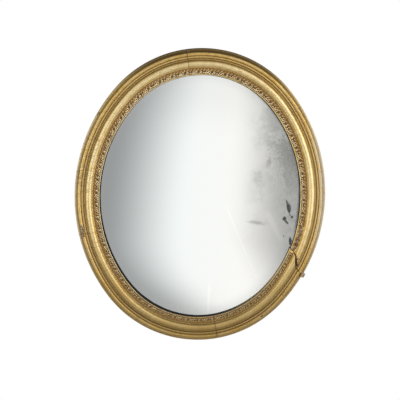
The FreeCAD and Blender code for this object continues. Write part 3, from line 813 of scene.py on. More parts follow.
def stem(name, line):
    """A round stem along a smooth line of points, each with its own radius, all in millimetres."""
    curve = bpy.data.curves.new(name, "CURVE")
    curve.dimensions = "3D"
    curve.bevel_depth = MM
    curve.bevel_resolution = 2
    curve.use_fill_caps = True
    spline = curve.splines.new("NURBS")
    spline.points.add(len(line) - 1)
    for point, (u, v, w, radius) in zip(spline.points, line):
        point.co = (u * MM, v * MM, w * MM, 1)
        point.radius = radius
    spline.order_u = 3
    spline.use_endpoint_u = True
    spline.resolution_u = 6
    piece = bpy.data.objects.new(name, curve)
    bpy.context.collection.objects.link(piece)
    pick(piece)
    bpy.ops.object.convert(target="MESH")
    return bpy.context.active_object


def pearl(u, v, w, radius, squash=0.85):
    """A pearl on the ground, in millimetres."""
    bpy.ops.object.select_all(action="DESELECT")
    bpy.ops.mesh.primitive_uv_sphere_add(segments=20, ring_count=12, radius=radius * MM)
    piece = bpy.context.active_object
    put_points(piece, points_of(piece) * np.array([1, 1, squash]) + np.array([u, v, w]) * MM)
    return piece


# The motif, in millimetres along the band from its middle and across it from the torus
GROUND_SWELL, GROUND_OVERLAP, GROUND_SUNK, GROUND_CUTS = 0.5, 0.5, 0.25, 14
STEM_SUNK = 0.15
# Eyes of the volutes: along, across and size, and how each one turns (degrees) and opens
VOLUTES = {"volute": (-9.2, 9.6, 1.0), "curl": (11.6, 10.2, 0.72)}
VOLUTE_START, VOLUTE_TURN, VOLUTE_POINTS = 250, 37, 11
VOLUTE_EYE, VOLUTE_GROWTH, VOLUTE_LIFT = 0.80, 0.022, 0.9
# Leaves: along and size of each, and their line as along, across, lift and share of the thickness
LEAF_ROOTS = ((-13.4, 0.92), (-5.2, 1.05), (3.0, 1.0), (11.2, 0.9))
LEAF_LINE = ((3.2, 6.6, 0.2, 0.8), (0.6, 5.4, 0.4, 1.3), (-1.2, 3.6, 0.3, 1.5), (-1.6, 1.8, 0.1, 1.1))
# Pearls: along, across and size, and the share of the radius by which they stand up
PEARLS = ((-3.6, 10.9, 1.0), (0.6, 11.6, 0.9), (4.6, 10.6, 0.82), (-1.4, 8.2, 0.55),
          (7.0, 12.4, 0.5), (15.4, 12.4, 0.6), (-14.6, 12.6, 0.5))
PEARL_LIFT = 0.55
# Thread at the sight edge: its points as along, across and lift, and how far it runs past the motif
THREAD = ((-5, 15.0, 0.7), (5, 14.8, 0.7))
THREAD_END = (14.9, 0.6)
THREAD_PAST, THREAD_RADIUS = 0.3, 0.42
MOTIF_SMOOTHING = 0.45


def ground_height(v, width, o):
    """Height of the ornament's swelling ground across its width, in millimetres."""
    return o.ground / MM + GROUND_SWELL * math.sin(math.pi * min(max(v / width, 0), 1))


def volute_line(u, v, radius, thick):
    """A scroll that opens round its eye."""
    line = []
    for index in range(VOLUTE_POINTS):
        reach = radius * (VOLUTE_EYE + VOLUTE_GROWTH * index)
        angle = math.radians(VOLUTE_START - VOLUTE_TURN * index)
        line.append((u + reach * math.cos(angle), v + reach * math.sin(angle), VOLUTE_LIFT, thick))
    return line


def motif_parts(pitch, width, o):
    """One motif: its ground, two volutes, leaves that lean along the band, pearls and a thread."""
    bpy.ops.object.select_all(action="DESELECT")
    bpy.ops.mesh.primitive_cube_add(size=1)
    ground = bpy.context.active_object
    bpy.ops.object.mode_set(mode="EDIT")
    bpy.ops.mesh.subdivide(number_cuts=GROUND_CUTS)
    close_edit()
    points = points_of(ground)
    across = (points[:, 1] + 0.5) * width
    tall = np.array([ground_height(v, width, o) for v in across])
    upwards = np.where(points[:, 2] > 0, tall * (points[:, 2] + 0.5), -GROUND_SUNK)
    put_points(ground, np.stack([points[:, 0] * (pitch + GROUND_OVERLAP), across, upwards], axis=1) * MM)

    def laid_stem(name, line):
        return stem(name, [(u, v, ground_height(v, width, o) + lift - STEM_SUNK, radius)
                           for u, v, lift, radius in line])

    eye, thick, lobe = o.scroll / MM, o.stem / MM, o.lobe / MM
    parts = [ground]
    for name, (u, v, size) in VOLUTES.items():
        parts.append(laid_stem(name, volute_line(u, v, eye * size, thick * size ** 0.5)))
    for index, (root, size) in enumerate(LEAF_ROOTS):
        parts.append(laid_stem(f"leaf_{index}", [(root + u, v, lift, lobe * share * size)
                                                 for u, v, lift, share in LEAF_LINE]))
    for u, v, share in PEARLS:
        radius = o.pearl / MM * share
        parts.append(pearl(u, v, ground_height(v, width, o) + radius * PEARL_LIFT, radius))
    end = pitch / 2 + THREAD_PAST
    thread = [(-end, *THREAD_END), *THREAD, (end, *THREAD_END)]
    parts.append(laid_stem("sight_thread", [(*point, THREAD_RADIUS) for point in thread]))
    return parts


def one_motif(pitch, width, o):
    """The points, faces and linked pairs of one motif, its parts joined, fused and smoothed."""
    parts = motif_parts(pitch / MM, width / MM, o)
    bpy.ops.object.select_all(action="DESELECT")
    for part in parts:
        part.select_set(True)
    bpy.context.view_layer.objects.active = parts[0]
    bpy.ops.object.join()
    piece = bpy.context.active_object
    fuse = piece.modifiers.new("Fuse", "REMESH")
    fuse.mode = "VOXEL"
    fuse.voxel_size = o.grain
    bpy.ops.object.modifier_apply(modifier=fuse.name)
    edit(piece)
    bpy.ops.mesh.vertices_smooth(factor=MOTIF_SMOOTHING, repeat=1)
    close_edit()
    points = points_of(piece)
    faces = [tuple(face.vertices) for face in piece.data.polygons]
    links = np.array([tuple(edge.vertices) for edge in piece.data.edges])
    bpy.data.objects.remove(piece)
    return points, faces, links


def settled(values, links, rounds):
    """Values averaged with their neighbours, several times over."""
    count = np.bincount(links.ravel(), minlength=len(values)) + 1.0
    for _ in range(rounds):
        total = (values + np.bincount(links[:, 0], values[links[:, 1]], len(values))
                 + np.bincount(links[:, 1], values[links[:, 0]], len(values)))
        values = total / count
    return values


# Steps of the section before the bed, strips of full length, and motifs on a short strip
STEPS_TO_BED, LONG_STRIPS, SHORT_COUNT = 13, 4, 8
# Creases of the motif and its low ground (millimetres), which both count as hollow
CREASE_ROUNDS, CREASE_DEPTH, CREASE_SHARE = 9, 0.28 * MM, 0.7
LOW_FROM, LOW_OVER, LOW_SHARE = 1.85, 0.9, 0.9
# How casts differ in height, and their wear: pattern size, share of a whole cast, start and depth
CAST_WOBBLE = 0.10
WEAR_SIZE, WEAR_KNOCK, WEAR_FROM = 7 * MM, 0.5, 0.35
WEAR_FLOOR, WEAR_DEPTH, WEAR_SHOWN = 1.4 * MM, 0.8, 1.2


def relief(points, links):
    """How deep in a hollow and how high on a crest each point of the motif lies."""
    under = settled(points[:, 2], links, CREASE_ROUNDS)
    crease = np.clip((under - points[:, 2]) / CREASE_DEPTH, 0, 1)
    crest = np.clip((points[:, 2] - under) / CREASE_DEPTH, 0, 1)
    low = np.clip((LOW_FROM - points[:, 2] / MM) / LOW_OVER, 0, 1)
    return np.clip(crease * CREASE_SHARE + low * LOW_SHARE, 0, 1), crest


def worn_cast(points, stretch, seed):
    """One cast of the motif, with its own height, and how worn each point is."""
    shaped = points.copy()
    shaped[:, 0] *= stretch
    shaped[:, 2] *= 1 + CAST_WOBBLE * noise.noise(Vector((seed * 1.7, 0.3, 0.9)))
    knock = noise.noise(Vector((seed * 2.3, 5.1, 0.2)))
    worn = np.clip(rough_field(shaped, WEAR_SIZE, seed) + WEAR_KNOCK * knock - WEAR_FROM, 0, 1)
    shaped[:, 2] -= worn * np.clip(shaped[:, 2] - WEAR_FLOOR, 0, 1) * WEAR_DEPTH
    return shaped, worn


class MIRROR_OT_ornament(Operator):
    """Make the six strips of leaf ornament at the sight edge"""
    bl_idname = "mirror.ornament"
    bl_label = "Leaf Ornament"

    def execute(self, context):
        sizes, m = context.scene.mirror_oval, context.scene.mirror_moulding
        o = context.scene.mirror_ornament
        oval, section = Oval(sizes), Section(m)
        joint = OpenJoint(oval, sizes, section.line[:, 0].max())
        gilding = gilded("ornament_gilding", context.scene.mirror_gilding, toned=True)
        to_bed = walk_of(m)[:STEPS_TO_BED]
        bed_inset = sum(step[0] for step in to_bed)
        bed_height = m.back + sum(step[1] for step in to_bed)
        fall = math.atan2(m.bed_fall, m.bed_width)
        middle = bed_inset + m.bed_width / 2
        width = (m.bed_width - o.margin + o.lap) / math.cos(fall)
        first, last = (oval.run(at, middle) for at in (sizes.loss_end, sizes.bottom_joint))
        joint_turn = float(joint.turns([middle], -1)[0]) + FULL_TURN
        joint_run = oval.run(joint_turn, middle) - MM
        pitch = (last - first) / (LONG_STRIPS * o.sound + SHORT_COUNT)
        points, faces, links = one_motif(pitch, width, o)
        hollow, crest = relief(points, links)

        strips = [(first + pitch * (index * o.sound), pitch, o.sound) for index in range(LONG_STRIPS)]
        strips += [(first + pitch * (LONG_STRIPS * o.sound), pitch, SHORT_COUNT),
                   (last, (joint_run - last) / SHORT_COUNT, SHORT_COUNT)]
        for number, (start, strip_pitch, count) in enumerate(strips, start=1):
            all_points, all_values, all_faces = [], [], []
            for copy in range(count):
                shaped, worn = worn_cast(points, strip_pitch / pitch, number * 20 + copy)
                run = start + strip_pitch * (copy + 0.5) + shaped[:, 0]
                run = np.clip(run, start, start + strip_pitch * count - o.seam)
                reach, rise = shaped[:, 1], shaped[:, 2]
                insets = bed_inset + o.margin + reach * math.cos(fall) + rise * math.sin(fall)
                heights = (bed_height - o.margin * math.tan(fall) - reach * math.sin(fall)
                           + rise * math.cos(fall))
                placed = oval.places(oval.turn_at(run, middle), insets, heights)
                all_points.append(dropped(placed, insets, m))
                all_faces += [tuple(corner + copy * len(points) for corner in face) for face in faces]
                all_values.append(np.stack([hollow, crest, worn * WEAR_SHOWN, insets, run], axis=1))
            placed = np.concatenate(all_points)
            if number == len(strips):
                placed = joint.slipped(placed)
            piece = new_piece(f"leaf_ornament_{number}", placed, (), all_faces)
            values = np.concatenate(all_values)
            for index, name in enumerate(("hollow", "crest", "bare", "across", "along")):
                put_values(piece, name, values[:, index])
            face_out(piece)
            finish_piece(piece, gilding, [f"leaf_strip_{number}"], angle=50)
        return {"FINISHED"}


# Plate and binding

# Sides of the plate's outline and its small bevel
PLATE_SIDES = 420
BEVEL_WIDTH, BEVEL_FALL, FACE_SNAP = 0.6 * MM, 0.5 * MM, 0.1 * MM


class MIRROR_OT_plate(Operator):
    """Make the silvered plate"""
    bl_idname = "mirror.plate"
    bl_label = "Silvered Plate"

    def execute(self, context):
        sizes, p = context.scene.mirror_oval, context.scene.mirror_plate
        oval = Oval(sizes)
        bpy.ops.object.select_all(action="DESELECT")
        bpy.ops.mesh.primitive_circle_add(vertices=PLATE_SIDES, radius=sizes.width / 2,
                                          fill_type="NGON")
        piece = context.active_object
        piece.name = "silvered_plate"
        start, finish = oval.run([0, FULL_TURN], p.inset)
        runs = start + (finish - start) * np.arange(PLATE_SIDES) / PLATE_SIDES
        put_points(piece, oval.places(oval.turn_at(runs, p.inset), p.inset, p.back))
        edit(piece, "FACE")
        bpy.ops.mesh.extrude_region_move(
            TRANSFORM_OT_translate={"value": (0, -(p.silvering - p.back), 0)})
        bpy.ops.mesh.inset(thickness=BEVEL_WIDTH, depth=0)
        close_edit()
        points = points_of(piece)
        _, insets = oval.seen(points)
        rim = (points[:, 1] < -p.silvering + FACE_SNAP) & (insets < p.inset + BEVEL_WIDTH / 2)
        points[rim, 1] += BEVEL_FALL
        put_points(piece, points)
        face_out(piece, SNAP)
        glass = silvered("silvered_glass", context.scene.mirror_silvering)
        finish_piece(piece, glass, ["mirror_plate"], angle=15)
        return {"FINISHED"}


# The binding in millimetres: gap to the plate, arrises, flap and facet
BINDING_GAP, BINDING_ARRIS, INNER_ARRIS, BINDING_FLAP, BINDING_FACET = 0.05, 0.1, 0.15, 2, 1.5
# Its torn edge as pattern size, share and seed, then where it shows wider as painted shade at the sight
# edge: width, turn and power
TORN = ((9, 1, 61), (2.5, 0.5, 62))
SHADE_WIDTHS = ((1.8, 225, 1), (-3.4, 312, 2), (-0.8, 135, 2))


class MIRROR_OT_binding(Operator):
    """Make the black paper binding that shows at the sight edge, a dark band that also stands for the
    shade there
    """
    bl_idname = "mirror.binding"
    bl_label = "Black Binding"

    def execute(self, context):
        sizes, m = context.scene.mirror_oval, context.scene.mirror_moulding
        p = context.scene.mirror_plate
        oval = Oval(sizes)
        sight = sum(step[0] for step in walk_of(m))
        low, high = p.silvering + BINDING_GAP * MM, p.binding_front
        inner = sight + p.binding_show
        section = [(p.inset, low), (p.inset, high - BINDING_ARRIS * MM),
                   (p.inset + BINDING_ARRIS * MM, high), (inner - BINDING_FLAP * MM, high),
                   (inner - INNER_ARRIS * MM, high), (inner, high - INNER_ARRIS * MM),
                   (inner, (low + high) / 2), (inner, low)]
        ring = [oval.place(0, inset, height) for inset, height in section]
        piece = new_piece("black_binding", ring, closed_loop(len(ring)))
        edit(piece)
        for start, finish, radius, x, z in oval.spans(0, FULL_TURN):
            bpy.ops.mesh.spin(steps=round((finish - start) * radius / (BINDING_FACET * MM)),
                              angle=start - finish, center=(x, 0, z), axis=TO_FRONT,
                              use_auto_merge=False)
        close_edit()
        face_out(piece, 10 * SNAP)
        points = points_of(piece)
        turns, insets = oval.seen(points)
        torn = sum(share * rough_field(points, size * MM, seed) for size, share, seed in TORN)
        wide = sum(width * MM * np.clip(np.cos(turns - math.radians(at)), 0, 1) ** power
                   for width, at, power in SHADE_WIDTHS)
        share = np.clip((insets - sight + MM) / p.binding_show / 2, 0, 1)
        outwards = np.stack([np.cos(turns), np.zeros_like(turns), np.sin(turns)], axis=1)
        points = points - outwards * ((torn * p.binding_wander + wide) * share)[:, None]
        put_points(piece, dropped(points, np.where(share > 0, sight, 0), m))
        paper = papered("black_paper", context.scene.mirror_silvering)
        finish_piece(piece, paper, ["plate_binding"], angle=40)
        return {"FINISHED"}


# Finishes

class Value:
    """A socket in a finish, with arithmetic that adds Math nodes."""

    def __init__(self, finish, socket):
        self.finish = finish
        self.socket = socket

    def maths(self, operation, *values):
        """A Math node of these values."""
        return self.finish.add("Math", dict(enumerate(values)), operation=operation)

    def __add__(self, other):
        return self.maths("ADD", self, other)

    def __sub__(self, other):
        return self.maths("SUBTRACT", self, other)

    def __rsub__(self, other):
        return self.maths("SUBTRACT", other, self)

    def __mul__(self, other):
        return self.maths("MULTIPLY", self, other)

    def __truediv__(self, other):
        return self.maths("DIVIDE", self, other)

    def __pow__(self, other):
        return self.maths("POWER", self, other)

    __radd__ = __add__
    __rmul__ = __mul__


class Finish:
    """A finish being mixed: a node tree and the ways of adding to it."""

    def __init__(self, tree):
        self.tree = tree
        tree.nodes.clear()

    def add(self, kind, inputs=None, output=0, **settings):
        """Any node: its settings first, then the values or links of its sockets."""
        node = self.tree.nodes.new("ShaderNode" + kind)
        for name, setting in settings.items():
            setattr(node, name, setting)
        for key, value in (inputs or {}).items():
            if isinstance(value, Value):
                self.tree.links.new(value.socket, node.inputs[key])
            else:
                node.inputs[key].default_value = value
        return Value(self, node.outputs[output]) if node.outputs else None

    def place(self):
        """Object coordinates."""
        return self.add("TexCoord", output="Object")

    def kept(self, name):
        """A number kept on the mesh."""
        return self.add("Attribute", output="Fac", attribute_name=name)

    def parts(self, vector):
        """The x, y and z of a vector."""
        node = self.add("SeparateXYZ", {0: vector}).socket.node
        return [Value(self, socket) for socket in node.outputs]

    def facing(self):
        """The x, y and z of the surface's normal."""
        return self.parts(self.add("TexCoord", output="Normal"))

    def rays(self):
        """Whether a ray is the camera's, a glossy one or one that passes through."""
        outputs = self.add("LightPath").socket.node.outputs
        return [Value(self, outputs[name])
                for name in ("Is Camera Ray", "Is Glossy Ray", "Is Transmission Ray")]

    def noise(self, vector, scale, detail=3.0, roughness=0.55):
        """Soft noise around a half."""
        return self.add("TexNoise", {"Vector": vector, "Scale": scale, "Detail": detail,
                                     "Roughness": roughness}, output="Fac")

    def cells(self, vector, scale):
        """Distance to the nearest of many scattered points."""
        return self.add("TexVoronoi", {"Vector": vector, "Scale": scale}, output="Distance")

    def rising(self, value, low, high):
        """From 0 below low to 1 above high, or the other way round where low is the larger."""
        return self.add("MapRange", {"Value": value, "From Min": low, "From Max": high},
                        interpolation_type="SMOOTHSTEP")

    def band(self, value, starts, full_from, full_to, ends):
        """1 inside a band with soft sides, and 0 outside it."""
        return self.rising(value, starts, full_from) * self.rising(value, ends, full_to)

    def out_to(self, x, z, squares):
        """1 on an oval given by the squares of its half axes, and less inside it."""
        return x * x / squares[0] + z * z / squares[1]

    def least(self, one, other):
        """The smaller of two numbers."""
        return self.add("Math", {0: one, 1: other}, operation="MINIMUM")

    def most(self, one, other):
        """The larger of two numbers."""
        return self.add("Math", {0: one, 1: other}, operation="MAXIMUM")

    def blended(self, one, other, share):
        """A colour between two colours."""
        one, other = (tuple(shade) + (1,) if not isinstance(shade, Value) else shade
                      for shade in (one, other))
        return self.add("Mix", {0: share, 6: one, 7: other}, output=2, data_type="RGBA")

    def layered(self, shade, *layers):
        """A colour under layers, each a colour and its share."""
        for layer, share in layers:
            shade = self.blended(shade, layer, share)
        return shade

    def between(self, one, other, share):
        """A number between two numbers."""
        return self.add("Mix", {0: share, 2: one, 3: other}, output=0, data_type="FLOAT")

    def vector(self, x, y, z):
        """A vector from three numbers."""
        return self.add("CombineXYZ", {0: x, 1: y, 2: z})

    def stretched(self, vector, x, y, z):
        """A vector scaled by x, y and z."""
        return self.add("VectorMath", {0: vector, 1: (x, y, z)}, operation="MULTIPLY")

    def raised(self, height, distance, strength=1.0):
        """A normal from a height pattern."""
        return self.add("Bump", {"Height": height, "Distance": distance, "Strength": strength})

    def surface(self, inputs):
        """The finished surface."""
        self.add("OutputMaterial", {"Surface": self.add("BsdfPrincipled", inputs)})


def new_finish(name):
    """A material and the finish that fills it."""
    material = bpy.data.materials.new(name)
    material.use_nodes = True
    return material, Finish(material.node_tree)


# Bands across the moulding, in metres from the outline: where each starts, is full, is full to, ends
GROOVE_BAND = (0.0164, 0.0176, 0.0242, 0.0254)
TORUS_BAND = (0.0268, 0.0300, 0.0375, 0.0405)
HATCHED_BAND = (0.0145, 0.0160, 0.0250, 0.0262)
PEARL_BAND = (0.0505, 0.0520, 0.0566, 0.0574)
ROLL_BAND = (0.0040, 0.0070, 0.0170, 0.0200)
# Stations between which something fades in, or out where the first is the larger
OUTER_BED, FILLET = (0.0515, 0.0485), (0.0588, 0.0594)
WASHED, EDGE, PALE_ROLL = (0.0085, 0.001), (0.0075, 0.0045), (0.0150, 0.0125)
TORUS_SHOULDER, PAST_ROLL = (0.0310, 0.0280), (0.0200, 0.0260)
# Dark lines in its seats, dirt and painted shade in the creases, with the squares of their half widths
SEATS, SEAT_EDGE, SEAT_CORE = (0.0160, 0.0203, 0.0258), 3e-7, 3e-8
# Squares of the distances from the upright axis between which the oval's sides begin
SIDES, FLANKS = (0.045, 0.085), (0.008, 0.05)


def gilded(name, c, toned=False):
    """Old water gilding: mottled leaf, worn crests, dirt and painted shade in the hollows, specks and
    bare places, with painted highlights on the torus, crests and pearls, and painted light and shade by
    the side and height of the oval.
    """
    material, f = new_finish(name)
    place = f.place()
    x, _, z = f.parts(place)
    hollow, crest, bare = f.kept("hollow"), f.kept("crest"), f.kept("bare")
    across, along = f.kept("across"), f.kept("along")
    streaks = f.noise(f.vector(along * 30, across * 420, 0), 1.0, 4, 0.6)
    broad = f.noise(place, 11, 3, 0.5)
    mottle = f.noise(place, 95, 5, 0.62)
    fine = f.noise(place, 620, 3, 0.6)

    leaf = f.blended(c.deep_gold, c.gold, f.rising(broad * 0.5 + mottle * 0.5, 0.36, 0.60))
    leaf = f.blended(leaf, c.pale_gold, f.rising(mottle * 0.6 + fine * 0.4, 0.50, 0.68) * 0.55)
    worn = f.rising(crest * 0.34 + streaks * 0.62 + broad * 0.25, 0.66, 0.80)
    rub = worn * f.rising(fine, 0.38, 0.56)
    lost = f.rising(mottle * 0.55 + fine * 0.55 + crest * 0.16, 0.73, 0.80) * 0.75
    shade = f.layered(leaf, (c.clay, rub * (0.35 if toned else 0.62)),
                      (c.ground, lost * (0.25 if toned else 0.7)))
    # Dust and painted shade: darker on faces that look up
    dust = f.rising(f.facing()[2], 0.46, 0.92) * (f.rising(mottle, 0.25, 0.55) * 0.30 + 0.55)
    if toned:
        # Red-brown toning, stronger beside the torus as painted shade at its foot
        outer = f.rising(across, *OUTER_BED)
        # Painted highlight: bright leaf on the ornament's crests
        high = crest * f.rising(mottle, 0.35, 0.60) * (0.90 - outer * 0.5)
        # Painted highlight: near-white leaf on the pearls
        bead = crest * f.band(across, *PEARL_BAND)
        shade = f.layered(shade, (c.red_brown_and_shade, outer * 0.34 + 0.26), (c.crest_highlight, high),
                          (c.pearl_highlight, bead * f.rising(fine, 0.38, 0.50) * 0.95))
        # Dirt and painted shade in the ornament's creases and low ground
        grime_and_shade = (f.rising(hollow * 1.25 + mottle * 0.45 - crest * 0.6, 0.38, 0.90)
                 * (0.90 - outer * 0.36))
    else:
        wall, seam = f.kept("wall"), f.kept("seam")
        wash = f.rising(across, *WASHED) * f.rising(broad * 0.6 + mottle * 0.4, 0.30, 0.56)
        # Painted light: pale ground on the outer side at the right, with less metal there
        right_side = f.rising(x, 0.17, 0.28) * f.band(z, -0.17, -0.02, 0.12, 0.27)
        right_light = right_side * f.rising(across, *PALE_ROLL) * f.rising(mottle, 0.34, 0.50)
        # Painted light: brighter gold in the groove, most at the oval's sides, with less metal there
        groove = f.band(across, *GROOVE_BAND)
        lit_flanks = groove * f.rising(x * x, *FLANKS)
        fillet = f.rising(across, *FILLET) * f.rising(mottle * 0.6 + fine * 0.4, 0.36, 0.52)
        # Painted highlight: paler leaf along the torus, less towards the bottom
        torus_sheen = f.band(across, *TORUS_BAND) * (f.rising(z, -0.30, 0.02) * 0.75 + 0.25)
        # Painted shade: deeper gold on the torus's outer slope at the top
        top_shade = f.rising(z, 0.05, 0.22) * f.rising(across, *TORUS_SHOULDER)
        edge = f.rising(across, *EDGE)
        shade = f.layered(
            shade,
            # Toned gold and painted shade in the hollows
            (c.hollow_gold_and_shade, f.rising(hollow, 0.12, 0.7) * 0.55),
            (c.ochre, wash * 0.75),
            (c.gold, lit_flanks * 0.65 + groove * 0.25),
            (c.pale_gold, fillet * 0.7),
            # Painted light: the sight fillet paler at the left
            (c.ground, fillet * f.rising(x, 0.02, -0.20) * 0.55),
            (c.ground, right_light * 0.55),
            (c.pale_gold, torus_sheen * (f.rising(mottle, 0.30, 0.55) * 0.35 + 0.35)),
            (c.deep_gold, top_shade * 0.30),
            # Painted light: the outer edge paler at the oval's sides
            (c.ground, edge * f.rising(x * x, *SIDES) * 0.35),
            # Painted shade: the outer edge dark at the top
            (c.soot_and_shade, edge * f.rising(z, 0.25, 0.33) * 0.80))
        # Dirt and painted shade in the moulding's hollows
        grime_and_shade = f.rising(hollow * 0.40 + mottle * 0.55 + fine * 0.30, 0.80, 1.25) * 0.66
        # Dirt and painted shade along each seat, weaker at the oval's lit sides
        for seat in SEATS:
            line = f.rising((across - seat) * (across - seat), SEAT_EDGE, SEAT_CORE)
            grime_and_shade = f.most(grime_and_shade, line * (f.rising(broad, 0.30, 0.55) * 0.30 + 0.60 - lit_flanks * 0.25))
        # Less dust and painted shade on the roll, and on the torus at the top
        dust = (dust * (1 - f.band(across, *ROLL_BAND) * 0.6)
                * (1 - f.rising(z, 0.05, 0.25) * f.rising(across, *PAST_ROLL) * 0.65))
    # Painted shade: darker and browner towards the foot of the oval
    low = f.rising(z, -0.05, -0.28) * (f.rising(mottle, 0.30, 0.60) * 0.25 + 0.28)
    speck = f.rising(f.cells(place, 260), 0.10, 0.06) * f.rising(f.noise(place, 60, 2), 0.56, 0.62)
    shade = f.layered(shade, (c.dirt, grime_and_shade), (c.foot, low), (c.soot_and_shade, dust), (c.dirt, speck * 0.8))

    grain = f.noise(f.vector(along * 60, across * 1400, 0), 1.0, 4, 0.6)
    torn = f.layered(c.bare_wood,
                     (c.ground, f.rising(fine * 0.6 + mottle * 0.5, 0.56, 0.66) * 0.45),
                     (c.clay, f.rising(grain, 0.52, 0.62) * 0.35),
                     (c.dirt, f.rising(f.noise(place, 420, 2), 0.54, 0.62) * 0.6),
                     (c.ground, f.rising(f.noise(place, 300, 2), 0.55, 0.59) * 0.9))
    bared = f.rising(bare, 0.35, 0.75)
    shade = f.blended(shade, torn, bared)
    cover = ((1 - bared) * (1 - grime_and_shade * 0.85) * (1 - rub * 0.6) * (1 - lost * 0.7)
             * (1 - dust * 0.7))
    roughness = f.between(0.80, 0.42, cover) + (mottle - 0.5) * 0.18
    metal = cover * (0.62 if toned else 0.70)
    cracks = f.add("TexVoronoi", {"Vector": f.vector(along * 130, across * 22, z * 6), "Scale": 1.0},
                   output="Distance", feature="DISTANCE_TO_EDGE")
    crack = f.rising(cracks, 0.020, 0.004) * f.rising(f.noise(place, 9, 2), 0.50, 0.60)
    if toned:
        roughness = roughness - bead * 0.20
        shade = f.blended(shade, c.dirt, crack * 0.55)
    else:
        seam = seam * (f.rising(mottle, 0.30, 0.55) * 0.30 + 0.28)
        gilt_wall = f.rising(x, 0.06, 0.12) * f.rising(z, -0.12, -0.20)
        hatch = f.add("TexWave", {"Vector": f.vector(along * 380 + across * 300, 0, 0), "Scale": 0.16,
                                  "Distortion": 1.2, "Detail": 2.0}, output="Fac",
                      wave_type="BANDS", bands_direction="X")
        shade = f.layered(shade, (c.dirt, seam * (1 - f.rising(x, -0.20, -0.25) * 0.7)),
                          (c.shadow, wall * (0.96 - gilt_wall * 0.55)), (c.dirt, crack * 0.55),
                          (c.dirt, hatch * f.band(across, *HATCHED_BAND) * 0.20))
        metal = metal * (1 - wall) * (1 - wash * 0.55) * (1 - right_light * 0.5) * (1 - lit_flanks * 0.6)
    height = (streaks * 0.25 + mottle * 0.45 + fine * 0.40 + grain * bared * 0.8 - crack * 0.6
              - rub * 0.25)
    f.surface({"Base Color": shade, "Roughness": roughness, "Metallic": metal,
               "Specular IOR Level": 0.2, "Normal": f.raised(height, 0.00035, 0.8)})
    return material


# Places of stains on the plate: x, z, half width, half height (metres), lean (degrees), darkness
STAINS = [
    (0.2170, -0.0240, 0.0036, 0.0205, 15, 0.95),
    (0.2200, -0.0230, 0.0042, 0.0110, 12, 0.85),
    (0.2270, -0.0450, 0.0042, 0.0034, 40, 0.9),
    (0.2085, -0.0505, 0.0052, 0.0066, 20, 0.93),
    (0.2140, -0.0580, 0.0034, 0.0085, 42, 0.85),
    (0.2253, -0.1050, 0.0040, 0.0100, 8, 0.90),
    (0.2090, -0.0930, 0.0020, 0.0034, 0, 0.6),
    (0.2150, -0.0860, 0.0026, 0.0018, 35, 0.5),
    (0.1410, -0.0625, 0.0250, 0.0055, -6, 0.28),
    (0.1650, 0.0900, 0.0080, 0.0140, -8, 0.32),
    (0.1370, 0.0480, 0.0140, 0.0220, 4, 0.14),
    (0.2010, 0.0870, 0.0070, 0.0180, 0, 0.48),
    # A broad dark band along the upper right edge, painted shade next to the frame
    (0.2110, 0.1020, 0.0400, 0.0700, 20, 0.50),
]

# Faint bright streaks on the plate: x and z of both ends, half width (metres), strength
STREAKS = [
    (0.0650, -0.0240, 0.1230, -0.1500, 0.0020, 0.90),
    (0.1230, -0.1500, 0.1570, -0.2120, 0.0022, 0.90),
    (0.1620, -0.0300, 0.2110, -0.1180, 0.0060, 0.80),
    (0.0340, -0.2150, 0.0330, -0.2990, 0.0030, 1.0),
]


# On the plate: the raggedness of its stains and streaks, and ovals as the squares of their half axes
STAIN_RAGGED, STREAK_RAGGED = 1.9, 0.002
HAZE_OVAL, ROTTEN_OVAL = (0.0585, 0.0870), (0.0598, 0.0892)
BLOOM_AT, BLOOM_HALF = (0.185, -0.092), (0.085, 0.078)


